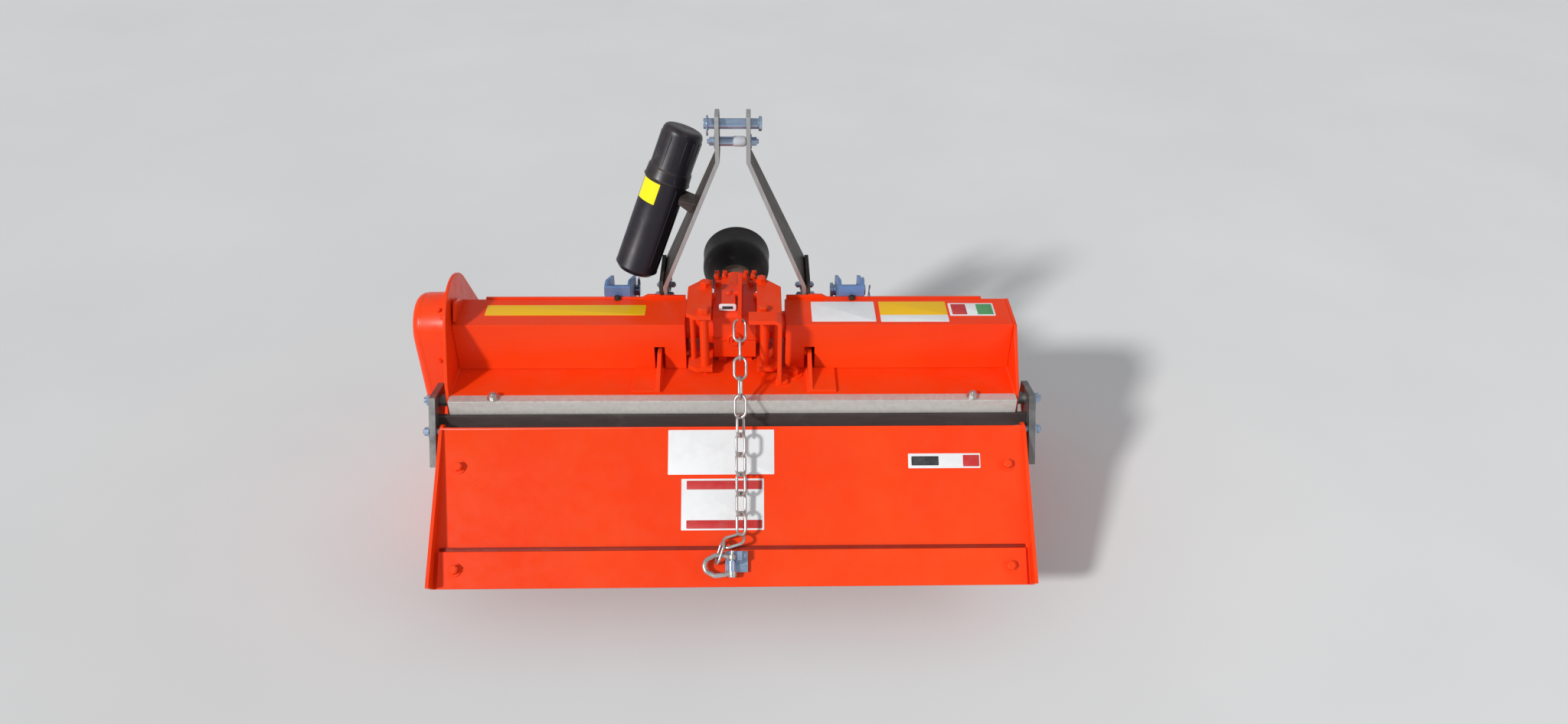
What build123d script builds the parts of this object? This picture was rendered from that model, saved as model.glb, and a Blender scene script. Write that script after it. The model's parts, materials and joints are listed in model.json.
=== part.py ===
from build123d import *
from math import acos, atan2, cos, degrees, hypot, radians, sin, sqrt
import os

# A stone burier for a small tractor's three-point linkage, in millimetres.
# X is across the machine, +X to its right, +Y forward and +Z up, with the floor at z 0.
# Side views are drawn in (fore, height), with fore counted from the rotor's axis.

# Driving sizes
work_width = 1050.0
plate = 6.0
sheet = 4.0
rotor_radius = 165.0
floor_gap = 10.0
hood_gap = 17.0
clear = 0.3

# Flats that stand for a round, on large and on small pieces
large_sides = 32
small_sides = 12
pin_sides = 8
corner_share = 0.3

# The rotor's axis and the hood over it
half = work_width / 2
plate_out = half + plate
rotor_z = rotor_radius + floor_gap
hood_top = rotor_z + rotor_radius + hood_gap + sheet
hood_reach = rotor_radius + hood_gap
hood_back = 148.0
hood_flat = 60.0
hood_shoulder = 150.0
shoulder_drop = 40.0
lip_drop = 93.0

# The beam across the hood, under its two covers
beam_depth = 91.0
beam_height = 98.0
beam_front = 27.0
beam_rear = beam_front - beam_depth
beam_top = hood_top + beam_height

# The gearbox and the shafts it drives
drive_y = -10.0
drive_z = hood_top + 63.0
gear_half = 40.0
gear_depth = 114.0
gear_front = 56.0
gear_lift = 16.0
gear_height = 101.0
gear_rear = gear_front - gear_depth
gear_foot = hood_top + gear_lift
gear_top = gear_foot + gear_height
axle_radius = 26.0
neck_radius = 36.0
neck_out = 66.0
nose_radius = 40.0
nose_front = 112.0
spline_radius = 17.5
spline_length = 75.0
spline_front = nose_front + spline_length
bell_radius = 68.0
bell_length = 132.0
bell_wall = 3.0
ring_plate = 6.0

# Rear board, hinged between the arms
hinge_y = -192.0
hinge_z = hood_top - 50.0
board_fall = 38.9
board_reach = 285.2
board_half = 538.5
board_sheet = 5.0
hinge_radius = 6.0
flange_high = 34.0

# Rear arms and the bars between them
arm_gap = 15.0
arm_plate = 12.0
arm_in = plate_out + arm_gap
arm_out = arm_in + arm_plate
bolt_out = 10.0
angle_sheet = 4.0
angle_depth = 20.5
angle_drop = 30.0
angle_rear = -hood_back - angle_depth
cross_thick = 8.0
cross_high = 27.0
cross_front = angle_rear + angle_sheet
cross_rear = cross_front - cross_thick

# Three-point linkage
hitch_half = 226.0
hitch_gap = 38.0
hitch_plate = 6.0
hitch_pin_radius = 11.0
hitch_pin_y = 112.0
hitch_pin_z = hood_top + 64.0
rail_plate = 6.0
rail_half = 478.0
rail_foot = 35.0
rail_front = beam_front + rail_plate
top_pin_radius = 9.5
yoke_gap = 48.0
leg_bar = 8.0
leg_rear = rail_front + 2.0
leg_head_width = 60.0
leg_foot_width = 120.0
leg_foot = 130.0
leg_fold_z = hood_top + 117.0
leg_bend_z = leg_fold_z + 263.0
top_pin_y = leg_rear + leg_head_width / 2
top_pin_z = leg_bend_z + 63.0

# Outer ends of the machine, which set the middle of its box
case_deep = 51.0
case_dome = 18.0
case_split = plate_out + case_deep
case_out = case_split + case_dome
sole_width = 52.0
fall = radians(board_fall)
rear_end = hinge_y - board_reach * cos(fall) - flange_high * sin(fall)
bell_rear = nose_front + ring_plate
bell_front = bell_rear + bell_length
mid_x = (case_out - plate_out - sole_width) / 2
mid_y = -(rear_end + bell_front) / 2


def across(x):
    """A side view's plane at x from the middle plane, drawn in (fore, height)."""
    return Plane(origin=(mid_x + x, mid_y, 0), x_dir=(0, 1, 0), z_dir=(1, 0, 0))


def level(z):
    """A plan view's plane at height z."""
    return Plane(origin=(mid_x, mid_y, z))


def facing(y):
    """A rear view's plane at fore y, drawn in (across, height); its normal points back."""
    return Plane(origin=(mid_x, mid_y + y, 0), x_dir=(1, 0, 0), z_dir=(0, -1, 0))


def cut_corners(long, wide, cut):
    """An oblong about the origin with its four corners cut, as points."""
    x, y = long / 2, wide / 2
    return [
        (x, y - cut), (x - cut, y), (cut - x, y), (-x, y - cut),
        (-x, cut - y), (cut - x, -y), (x - cut, -y), (x, cut - y),
    ]


def keep(part, name):
    """Label a finished piece and write it."""
    part.label = name
    export_step(part, f"parts/{name}.step")


os.makedirs("parts", exist_ok=True)

# Hood: one bent sheet over the rotor, between the side plates
with BuildPart() as hood:
    with BuildSketch(across(-half)):
        with BuildLine():
            Polyline(
                (-hood_back, hood_top),
                (hood_flat, hood_top),
                (hood_shoulder, hood_top - shoulder_drop),
                (hood_reach, hood_top - lip_drop),
            )
            offset(amount=sheet, side=Side.RIGHT)
        make_face()
    extrude(amount=work_width)
keep(hood.part, "hood")

# Side plates: the left one rises in an arch beside the chain case
plate_foot = 62.0
plate_chin = 110.0
plate_toe = 150.0
plate_front = hood_reach + 6.0
plate_nose = hood_top - 81.0
arch_radius = 100.0
journal_radius = 30.0
journal_hole = journal_radius + 6.0
left_shoulder = (hood_shoulder, hood_top + 11.0)
left_back = (-hood_back - 1.0, hood_top + 21.0)
right_back = (-hood_back - 2.0, hood_top + 8.0)
skirt = [
    (plate_front, plate_nose),
    (plate_front, plate_chin),
    (plate_toe, plate_foot),
    (-plate_toe, plate_foot),
    (cross_front, plate_chin),
    (cross_front, hinge_z - 10.0),
]
with BuildPart() as side_plate_left:
    with BuildSketch(across(-plate_out)):
        Polygon(left_shoulder, *skirt, left_back, align=None)
        with Locations((drive_y, drive_z)):
            Circle(arch_radius)
        make_hull()
        with Locations((0, rotor_z)):
            Circle(journal_hole, mode=Mode.SUBTRACT)
        with Locations((drive_y, drive_z)):
            Circle(axle_radius + clear, mode=Mode.SUBTRACT)
    extrude(amount=plate)
keep(side_plate_left.part, "side_plate_left")

with BuildPart() as side_plate_right:
    with BuildSketch(across(half)):
        Polygon((beam_front, beam_top), *skirt, right_back, (beam_rear, beam_top), align=None)
        with Locations((0, rotor_z)):
            Circle(journal_hole, mode=Mode.SUBTRACT)
    extrude(amount=plate)
keep(side_plate_right.part, "side_plate_right")

# Beam covers: folded sheet boxes either side of the gearbox, open at their inner ends
cover_in_left = 92.0
cover_in_right = 96.0
lip_high = 16.0
lip_kick = 4.0
tie_plate = 8.0
tie_middle = leg_foot + leg_bar + tie_plate / 2
notch_width = 19.0
notch_high = 47.0
covers = [
    ("beam_cover_left", -half, -cover_in_left, -tie_middle),
    ("beam_cover_right", cover_in_right, half, tie_middle),
]
for name, start, end, notch in covers:
    with BuildPart() as cover:
        with BuildSketch(across(start)):
            with BuildLine():
                Polyline(
                    (beam_rear - lip_kick, hood_top),
                    (beam_rear, hood_top + lip_high),
                    (beam_rear, beam_top),
                    (beam_front, beam_top),
                    (beam_front, hood_top),
                )
                offset(amount=sheet, side=Side.RIGHT)
            make_face()
        extrude(amount=end - start)
        with BuildSketch(facing(beam_rear + 2 * sheet)):
            with Locations((notch, hood_top + notch_high / 2)):
                Rectangle(notch_width, notch_high)
        extrude(amount=2 * sheet + lip_kick + 1, mode=Mode.SUBTRACT)
        with BuildSketch(facing(beam_front + 1)):
            with Locations(((start + end) / 2, hood_top - sheet / 2)):
                Rectangle(end - start + 2, sheet)
        extrude(amount=beam_depth + lip_kick + 2 * sheet, mode=Mode.SUBTRACT)
    keep(cover.part, name)

# Front rails: flat bars on the covers' front faces, with an upstand beside each mast leg
rail_gap = 3.0
upstand_high = 8.0
upstand_in = leg_foot + leg_bar + 4.0
upstand_out = upstand_in + 36.0
upstand_slope = 10.0
for name, side, start in [
    ("front_rail_left", -1, cover_in_left + rail_gap),
    ("front_rail_right", 1, cover_in_right + rail_gap),
]:
    with BuildPart() as rail:
        with BuildSketch(facing(rail_front)):
            with BuildLine():
                Polyline(
                    (side * start, hood_top + rail_foot),
                    (side * start, beam_top + plate),
                    (side * upstand_in, beam_top + plate),
                    (side * upstand_in, beam_top + upstand_high),
                    (side * (upstand_out - upstand_slope), beam_top + upstand_high),
                    (side * upstand_out, beam_top + plate - upstand_high / 2),
                    (side * rail_half, beam_top + plate - upstand_high / 2),
                    (side * rail_half, hood_top + rail_foot),
                    close=True,
                )
            make_face()
        extrude(amount=rail_plate)
    keep(rail.part, name)

# Axle tubes: the left one carries the drive to the chain case, the right one ties the gearbox
for name, start, end in [("axle_tube_left", -plate_out, -neck_out), ("axle_tube_right", neck_out, half)]:
    with BuildPart() as axle:
        with BuildSketch(across(start)):
            with Locations((drive_y, drive_z)):
                Circle(axle_radius)
        extrude(amount=end - start)
    keep(axle.part, name)

# Gearbox: a cast block with round necks to both sides, a nose to the front and a cover on top
clamp_z = gear_top + 12.0
gear_cut = 6.0
foot_wide = 16.0
foot_long = 80.0
joint_ridge = 3.0
boss_wide = 28.0
boss_long = 53.0
boss_high = 14.0
boss_draft = 4.0
boss_x = -11.0
boss_y = -18.5
plug_boss = 15.0
plug_out = 4.0
seal_deep = 30.0
seal_gap = 1.0
journal_step = 2.0
journal_deep = 28.0
pad_radius = 11.0
pad_x = 56.0
pad_y = 14.0
gear_y = (gear_front + gear_rear) / 2
gear_z = (gear_foot + gear_top) / 2
with BuildPart() as gearbox:
    with BuildSketch(across(-gear_half)):
        with Locations((gear_y, gear_z)):
            Polygon(*cut_corners(gear_depth, gear_height, gear_cut), align=None)
    extrude(amount=2 * gear_half)
    with BuildSketch(level(drive_z - joint_ridge)):
        with Locations((0, gear_y)):
            Rectangle(2 * gear_half + joint_ridge, gear_depth + joint_ridge)
    extrude(amount=2 * joint_ridge)
    with BuildSketch(level(hood_top)):
        with Locations((-gear_half + foot_wide, gear_y), (gear_half - foot_wide, gear_y)):
            Rectangle(foot_wide, foot_long)
    extrude(amount=gear_lift + 1)
    with BuildSketch(across(-neck_out)):
        with Locations((drive_y, drive_z)):
            RegularPolygon(neck_radius, large_sides)
    extrude(amount=2 * neck_out)
    with BuildSketch(facing(nose_front)):
        with Locations((0, drive_z)):
            RegularPolygon(nose_radius, large_sides)
    extrude(amount=nose_front - gear_front)
    with BuildSketch(level(gear_top)):
        with Locations((boss_x, boss_y)):
            Rectangle(boss_wide, boss_long)
    extrude(amount=boss_high, taper=boss_draft)
    with BuildSketch(level(drive_z + neck_radius / 2)):
        with Locations((-pad_x, pad_y), (pad_x, pad_y)):
            RegularPolygon(pad_radius, small_sides)
    extrude(amount=clamp_z - drive_z - neck_radius / 2)
    with BuildSketch(facing(gear_rear)):
        with Locations((0, drive_z)):
            RegularPolygon(plug_boss, small_sides)
    extrude(amount=plug_out)
    with BuildSketch(facing(nose_front)):
        with Locations((0, drive_z)):
            Circle(spline_radius + seal_gap)
    extrude(amount=seal_deep, mode=Mode.SUBTRACT)
keep(gearbox.part, "gearbox")

# Level plug in the middle of the gearbox's rear face, with a hexagonal socket
plug_radius = 9.0
plug_high = 4.0
socket_radius = 5.0
socket_deep = 3.0
with BuildPart() as level_plug:
    with BuildSketch(facing(gear_rear - plug_out)):
        with Locations((0, drive_z)):
            RegularPolygon(plug_radius, small_sides)
    extrude(amount=plug_high)
    with BuildSketch(facing(gear_rear - plug_out - plug_high)):
        with Locations((0, drive_z)):
            RegularPolygon(socket_radius, 6)
    extrude(amount=-socket_deep, mode=Mode.SUBTRACT)
keep(level_plug.part, "level_plug")

# Clamps either side of the gearbox: a plate over its neck, one under it, and their columns
clamp_sheet = 8.0
clamp_in = gear_half + 2.0
clamp_out = 88.0
clamp_back = -94.0
clamp_front = 33.0
chamfer_deep = 11.0
chamfer_wide = 16.0
nose_deep = 24.0
nose_wide = 25.0
shelf_z = hood_top + 11.0
shelf_front = 20.0
columns = [(56.0, -80.0, 8.5), (78.0, -58.0, 5.5)]
stud_radius = 5.0
for name, side in (("clamp_left", -1), ("clamp_right", 1)):
    with BuildPart() as clamp:
        with BuildSketch(level(clamp_z)):
            with BuildLine():
                Polyline(
                    (side * clamp_in, clamp_back),
                    (side * (clamp_out - chamfer_wide), clamp_back),
                    (side * clamp_out, clamp_back + chamfer_deep),
                    (side * clamp_out, clamp_front - nose_deep),
                    (side * (clamp_out - nose_wide), clamp_front),
                    (side * clamp_in, clamp_front),
                    close=True,
                )
            make_face()
        extrude(amount=clamp_sheet)
        with BuildSketch(level(shelf_z)):
            with BuildLine():
                Polyline(
                    (side * clamp_in, clamp_back),
                    (side * (clamp_out - chamfer_wide), clamp_back),
                    (side * clamp_out, clamp_back + chamfer_deep),
                    (side * clamp_out, shelf_front),
                    (side * clamp_in, shelf_front),
                    close=True,
                )
            make_face()
        extrude(amount=clamp_sheet)
        for column_x, column_y, column_radius in columns:
            with BuildSketch(level(shelf_z)):
                with Locations((side * column_x, column_y)):
                    RegularPolygon(column_radius, small_sides)
            extrude(amount=clamp_z - shelf_z)
        with BuildSketch(level(hood_top)):
            with Locations((side * columns[0][0], columns[0][1])):
                RegularPolygon(stud_radius, small_sides)
        extrude(amount=shelf_z - hood_top)
    keep(clamp.part, name)

# Bent bracket from the right clamp down to the hood
bracket_in = 27.0
bracket_plate = 8.0
bracket_rear = -122.0
bracket_front = clamp_back + 5.0
bracket_bend = 6.0
with BuildPart() as side_bracket:
    with BuildSketch(facing(bracket_front)):
        with BuildLine():
            FilletPolyline(
                (bracket_in, clamp_z + clamp_sheet),
                (clamp_out - bracket_plate, clamp_z + clamp_sheet),
                (clamp_out - bracket_plate, hood_top),
                radius=bracket_bend,
            )
            offset(amount=bracket_plate, side=Side.LEFT)
        make_face()
    extrude(amount=bracket_front - bracket_rear)
keep(side_bracket.part, "side_bracket")

# Upright fin on the gearbox, which carries the chain at its rear
fin_x = 7.0
fin_plate = 7.0
fin_y = -80.0
fin_z = gear_top + 9.0
fin_hole = 7.0
fin_front = 44.0
fin_high = 40.0
fin_slope = 20.0
fin_ease = 8.0
fin_tail = 14.0
fin_over = 12.0
fin_under = 13.0
fin_root = 6.0
with BuildPart() as chain_fin:
    with BuildSketch(across(fin_x)):
        with BuildLine():
            Polyline(
                (fin_front, gear_top),
                (fin_front, gear_top + fin_high - fin_ease),
                (fin_front - fin_slope, gear_top + fin_high),
                (fin_y - fin_tail, fin_z + fin_over),
                (fin_y - fin_tail, fin_z - fin_under),
                (gear_rear - clear, gear_top - fin_root),
                (gear_rear - clear, gear_top),
                close=True,
            )
        make_face()
        with Locations((fin_y, fin_z)):
            Circle(fin_hole, mode=Mode.SUBTRACT)
    extrude(amount=fin_plate)
keep(chain_fin.part, "chain_fin")

# Input shaft: a journal in the nose and the splined stub in front of it
with BuildPart() as input_shaft:
    with BuildSketch(facing(spline_front)):
        with Locations((0, drive_z)):
            Circle(spline_radius)
    extrude(amount=spline_length)
    with BuildSketch(facing(nose_front)):
        with Locations((0, drive_z)):
            Circle(spline_radius - journal_step)
    extrude(amount=journal_deep)
keep(input_shaft.part, "input_shaft")

# Guard ring bolted to the nose, and the bell it holds round the shaft
ring_radius = 50.0
ring_bore = spline_radius + 6.0
tab_wide = 9.0
tab_high = 44.0
tabs = [(x, drive_z + tab_high / 2) for x in (-37.0, -21.0, 21.0, 37.0)]
with BuildPart() as guard_ring:
    with BuildSketch(facing(bell_rear)):
        with Locations((0, drive_z)):
            RegularPolygon(ring_radius, large_sides)
        with Locations(*tabs):
            Rectangle(tab_wide, tab_high)
        with Locations((0, drive_z)):
            RegularPolygon(ring_bore, small_sides, mode=Mode.SUBTRACT)
    extrude(amount=ring_plate)
keep(guard_ring.part, "guard_ring")

bell_neck = 36.0
neck_long = 32.0
bell_flare = 40.0
flare_rear = bell_rear + neck_long
flare_high = (bell_radius - bell_neck) * cos(radians(180 / large_sides))
with BuildPart() as guard_bell:
    for wall, mode in ((0, Mode.ADD), (bell_wall, Mode.SUBTRACT)):
        with BuildPart(mode=Mode.PRIVATE) as core:
            with BuildSketch(facing(bell_front)):
                with Locations((0, drive_z)):
                    RegularPolygon(bell_radius - wall, large_sides)
            extrude(amount=bell_front - flare_rear)
            rear = core.faces().sort_by(Axis.Y)[0]
            chamfer(rear.edges(), length=flare_high, length2=bell_flare, reference=rear)
            with BuildSketch(facing(flare_rear)):
                with Locations((0, drive_z)):
                    RegularPolygon(bell_neck - wall, large_sides)
            extrude(amount=neck_long)
        add(core.part, mode=mode)
keep(guard_bell.part, "guard_bell")

# Chain case: a drop-shaped housing on the left plate, with a flange and a domed cover
case_top_radius = 64.0
case_foot_radius = 66.0
case_flange = 9.0
case_shrink = 16.0
journal_case = 36.0
journal_stub = 20.0
journal_deck = journal_case + 4.0


def case_outline(grow):
    """The case's outline, set out by grow, as two rounds joined by their outer tangents."""
    with BuildSketch(mode=Mode.PRIVATE) as outline:
        with Locations((drive_y, drive_z)):
            RegularPolygon(case_top_radius + grow, large_sides)
        with Locations((0, rotor_z)):
            RegularPolygon(case_foot_radius + grow, large_sides)
        make_hull()
    return outline.sketch


with BuildPart() as chain_case:
    with BuildSketch(across(-case_split)):
        add(case_outline(0))
    extrude(amount=case_split - plate_out)
    with BuildSketch(across(-plate_out - plate)):
        add(case_outline(case_flange))
    extrude(amount=plate)
    with BuildSketch(across(-plate_out - journal_deck)):
        with Locations((0, rotor_z)):
            Circle(journal_radius + 1)
    extrude(amount=journal_deck, mode=Mode.SUBTRACT)
keep(chain_case.part, "chain_case")

with BuildPart() as chain_case_cover:
    with BuildSketch(across(-case_split)):
        add(case_outline(0))
    with BuildSketch(across(-case_out)):
        add(case_outline(-case_shrink))
    loft(ruled=True)
keep(chain_case_cover.part, "chain_case_cover")

# Rotor: a tube with flanges and journals; its blades are bolted to the flanges
tube_radius = 45.0
flange_radius = 95.0
flange_sides = 8
flange_plate = 8.0
flange_count = 6
flange_in = 75.0
flange_pitch = (work_width - 2 * flange_in) / (flange_count - 1)
end_gap = 8.0
with BuildPart() as rotor:
    with BuildSketch(across(-half + end_gap)):
        with Locations((0, rotor_z)):
            RegularPolygon(tube_radius, small_sides)
    extrude(amount=work_width - 2 * end_gap)
    with BuildSketch(across(-plate_out - journal_case)):
        with Locations((0, rotor_z)):
            Circle(journal_radius)
    extrude(amount=2 * plate_out + journal_case + journal_stub)
    for number in range(flange_count):
        with BuildSketch(across(-half + flange_in + number * flange_pitch - flange_plate / 2)):
            with Locations((0, rotor_z)):
                RegularPolygon(flange_radius, flange_sides)
        extrude(amount=flange_plate)
keep(rotor.part, "rotor")

# Blades: a flat shank and a foot bent sideways with a swept edge, four to a flange
blade_plate = 8.0
blade_width = 42.0
blade_bend = 14.0
foot_reach = 62.0
foot_sweep = 12.0
blade_root = 60.0
blade_tip = rotor_radius - 4.0
blade_turn = 90.0 / flange_count
with BuildPart() as rotor_blades:
    for number in range(flange_count):
        x = -half + flange_in + number * flange_pitch
        for place in range(4):
            side = 1 if place % 2 else -1
            turn = radians(place * 90 + number * blade_turn)
            root = Vector(mid_x + x + side * flange_plate / 2, mid_y, rotor_z)
            outwards = Vector(0, cos(turn), sin(turn))
            sideways = Vector(side, 0, 0)
            edge_on = Plane(origin=root, x_dir=outwards, z_dir=outwards.cross(sideways))
            with BuildSketch(edge_on.offset(-blade_width / 2)):
                with BuildLine():
                    Polyline(
                        (blade_root, blade_plate),
                        (blade_tip - blade_plate - blade_bend, blade_plate),
                        (blade_tip - blade_plate, blade_plate + blade_bend),
                        (blade_tip - blade_plate, foot_reach),
                    )
                    offset(amount=blade_plate, kind=Kind.INTERSECTION, side=Side.RIGHT)
                make_face()
            extrude(amount=blade_width)
            sole_view = Plane(origin=root, x_dir=edge_on.z_dir, z_dir=outwards)
            with BuildSketch(sole_view.offset(blade_tip - 2 * blade_plate)):
                with BuildLine():
                    Polyline(
                        (blade_width / 2 + 1, -blade_bend),
                        (blade_width / 2 + 1, -foot_reach - 1),
                        (blade_width / 2 - foot_sweep, -foot_reach - 1),
                        close=True,
                    )
                make_face()
            extrude(amount=3 * blade_plate, mode=Mode.SUBTRACT)
keep(rotor_blades.part, "rotor_blades")

# Flanged bearing that carries the rotor on the right
bearing_side = 116.0
hub_radius = 44.0
hub_long = 16.0
bearing_plate = 12.0
with BuildPart() as rotor_bearing:
    with BuildSketch(across(plate_out)):
        with Locations((0, rotor_z)):
            Rectangle(bearing_side, bearing_side)
    extrude(amount=bearing_plate)
    with BuildSketch(across(plate_out + bearing_plate)):
        with Locations((0, rotor_z)):
            RegularPolygon(hub_radius, large_sides)
    extrude(amount=hub_long)
    with BuildSketch(across(plate_out)):
        with Locations((0, rotor_z)):
            Circle(journal_radius + clear)
    extrude(amount=2 * bearing_plate, mode=Mode.SUBTRACT)
keep(rotor_bearing.part, "rotor_bearing")

# Skids: an upright web on each plate's outside over a sole with turned-up ends
sole = 8.0
sole_half = 172.0
rear_turn = 40.0
rear_turn_high = 34.0
front_turn = 50.0
front_turn_high = 64.0
web_half = sole_half - 4.0
web_ease = 8.0
web_slope = 48.0
web_top = rotor_z - case_foot_radius - case_flange - 4.0
for name, side in (("skid_left", -1), ("skid_right", 1)):
    with BuildPart() as skid:
        with BuildSketch(across(plate_out if side > 0 else -plate_out - sole_width)):
            with BuildLine():
                Polyline(
                    (-sole_half - rear_turn, rear_turn_high),
                    (-sole_half, 0),
                    (sole_half, 0),
                    (sole_half + front_turn, front_turn_high),
                )
                offset(amount=sole, side=Side.LEFT)
            make_face()
        extrude(amount=sole_width)
        with BuildSketch(across(plate_out if side > 0 else -plate_out - plate)):
            with BuildLine():
                Polyline(
                    (-web_half, sole / 2),
                    (web_half, sole / 2),
                    (web_half, web_top - web_ease),
                    (web_half - web_slope, web_top),
                    (-web_half + web_slope, web_top),
                    (-web_half, web_top - web_ease),
                    close=True,
                )
            make_face()
        extrude(amount=plate)
    keep(skid.part, name)

# Lower hitch brackets: each a web on its rail with two cheeks forward and a pin across
hitch_foot = hood_top + rail_foot
hitch_top = hitch_foot + 86.0
cheek_shoulder = 26.0
cheek_nose = 26.0
cheek_chin = 14.0
nose_half = 19.0
cheek = [
    (rail_front, hitch_foot),
    (rail_front, hitch_top),
    (rail_front + cheek_shoulder, hitch_top),
    (hitch_pin_y + cheek_nose, hitch_pin_z + nose_half),
    (hitch_pin_y + cheek_nose, hitch_pin_z - nose_half),
    (hitch_pin_y - cheek_chin, hitch_foot),
]
for name, side in (("left", -1), ("right", 1)):
    middle = side * hitch_half
    with BuildPart() as hitch:
        for start in (middle - hitch_gap / 2 - hitch_plate, middle + hitch_gap / 2):
            with BuildSketch(across(start)):
                Polygon(*cheek, align=None)
                with Locations((hitch_pin_y, hitch_pin_z)):
                    Circle(hitch_pin_radius, mode=Mode.SUBTRACT)
            extrude(amount=hitch_plate)
        with BuildSketch(facing(rail_front + hitch_plate)):
            with Locations((middle, (hitch_foot + hitch_top) / 2)):
                Rectangle(hitch_gap + 1, hitch_top - hitch_foot)
        extrude(amount=hitch_plate)
    keep(hitch.part, f"hitch_bracket_{name}")
    pin_half = hitch_gap / 2 + hitch_plate + bolt_out
    with BuildPart() as pin:
        with BuildSketch(across(middle - pin_half)):
            with Locations((hitch_pin_y, hitch_pin_z)):
                Circle(hitch_pin_radius)
        extrude(amount=2 * pin_half)
    keep(pin.part, f"hitch_pin_{name}")

# Mast: two folded plates, close together at the yoke and splayed and wider at their feet
yoke_x = yoke_gap / 2
leg_foot_z = leg_fold_z - 55.0
leg_over = 20.0
leg_clip = 12.0
leg_top_z = top_pin_z + leg_over
leg_head_front = leg_rear + leg_head_width
leg_foot_front = leg_rear + leg_foot_width
for name, side in (("mast_leg_left", -1), ("mast_leg_right", 1)):
    with BuildPart() as leg:
        with BuildSketch(facing(leg_foot_front)):
            with BuildLine():
                Polyline(
                    (side * yoke_x, leg_top_z),
                    (side * yoke_x, leg_bend_z),
                    (side * leg_foot, leg_fold_z),
                    (side * leg_foot, leg_foot_z),
                )
                outside = Side.LEFT if side > 0 else Side.RIGHT
                offset(amount=leg_bar, kind=Kind.INTERSECTION, side=outside)
            make_face()
        extrude(amount=leg_foot_width)
        with BuildSketch(across(-leg_foot - 2 * leg_bar)):
            Polygon(
                (leg_rear, leg_foot_z),
                (leg_foot_front, leg_foot_z),
                (leg_foot_front, leg_fold_z),
                (leg_head_front, leg_bend_z),
                (leg_head_front, leg_top_z - leg_clip),
                (leg_head_front - leg_clip, leg_top_z),
                (leg_rear + leg_clip, leg_top_z),
                (leg_rear, leg_top_z - leg_clip),
                align=None,
            )
            with Locations((top_pin_y, top_pin_z)):
                Circle(top_pin_radius, mode=Mode.SUBTRACT)
        extrude(amount=2 * leg_foot + 4 * leg_bar, mode=Mode.INTERSECT)
    keep(leg.part, name)

# Plates on the rails that the mast's legs are bolted to
shoe_reach = leg_foot_width - 5.0
shoe_top = beam_top + 42.0
shoe_chin = 34.0
shoe_slope = 15.0
shoe_heel = beam_top + upstand_high + 3.0
for name, side in (("mast_shoe_left", -1), ("mast_shoe_right", 1)):
    with BuildPart() as shoe:
        with BuildSketch(across(side * tie_middle - tie_plate / 2)):
            Polygon(
                (rail_front, hood_top + rail_foot),
                (rail_front + shoe_reach - shoe_slope, hood_top + rail_foot),
                (rail_front + shoe_reach, hood_top + rail_foot + shoe_chin),
                (rail_front + shoe_reach, shoe_top - shoe_slope),
                (rail_front + shoe_slope, shoe_top - shoe_slope),
                (rail_front, shoe_heel),
                align=None,
            )
        extrude(amount=tie_plate)
    keep(shoe.part, name)

pin_end = 52.0
with BuildPart() as top_pin:
    with BuildSketch(across(-pin_end)):
        with Locations((top_pin_y, top_pin_z)):
            Circle(top_pin_radius)
    extrude(amount=2 * pin_end)
keep(top_pin.part, "top_pin")

# Bolt with its tube between the yoke's ends, below the pin
spacer_drop = 34.0
spacer_radius = 8.5
with BuildPart() as mast_spacer:
    with BuildSketch(across(-yoke_x)):
        with Locations((top_pin_y, top_pin_z - spacer_drop)):
            RegularPolygon(spacer_radius, small_sides)
    extrude(amount=yoke_gap)
keep(mast_spacer.part, "mast_spacer")

# Document tube with its cap, on a bracket at the left leg
tube_wall_radius = 41.0
cap_radius = 40.0
collar_radius = 44.0
collar_length = 18.0
cap_length = 104.0
tube_foot_x = -196.0
tube_foot_y = 90.0
tube_foot_z = 486.0
tube_lean = 105.0
tube_forward = 60.0
tube_rise = 271.0
tube_ease = 4.0
tube_foot = Vector(tube_foot_x, tube_foot_y, tube_foot_z)
tube_head = tube_foot + Vector(tube_lean, tube_forward, tube_rise)
tube_way = (tube_head - tube_foot).normalized()
tube_plane = Plane(origin=Vector(mid_x, mid_y, 0) + tube_foot, z_dir=tube_way)
tube_length = (tube_head - tube_foot).length
with BuildPart() as document_tube:
    with BuildSketch(tube_plane):
        RegularPolygon(tube_wall_radius, large_sides)
    extrude(amount=tube_length - cap_length)
    chamfer(document_tube.faces().sort_by(Axis.Z)[0].edges(), length=tube_ease)
keep(document_tube.part, "document_tube")

with BuildPart() as tube_cap:
    with BuildSketch(tube_plane.offset(tube_length - cap_length)):
        RegularPolygon(collar_radius, large_sides)
    extrude(amount=collar_length)
    with BuildSketch(tube_plane.offset(tube_length - cap_length + collar_length)):
        RegularPolygon(cap_radius, large_sides)
    extrude(amount=cap_length - collar_length)
keep(tube_cap.part, "tube_cap")

# Strap round the document tube, with a tapered lug to the left leg
strap_along = 118.0
strap_width = 22.0
strap_sheet = 3.0
lug_sheet = 5.0
lug_root = 26.0
lug_tip = 7.0
strap_bore = tube_wall_radius + clear
strap_middle = tube_foot + tube_way * (strap_along + strap_width / 2)
lug_z = strap_middle.Z - lug_sheet / 2


def leg_face(z):
    """The left leg's outer face at a height on its splayed stretch."""
    slant = hypot(leg_foot - yoke_x, leg_bend_z - leg_fold_z) / (leg_bend_z - leg_fold_z)
    share = (leg_bend_z - z) / (leg_bend_z - leg_fold_z)
    return -(yoke_x + leg_bar * slant + share * (leg_foot - yoke_x) + clear)


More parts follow.
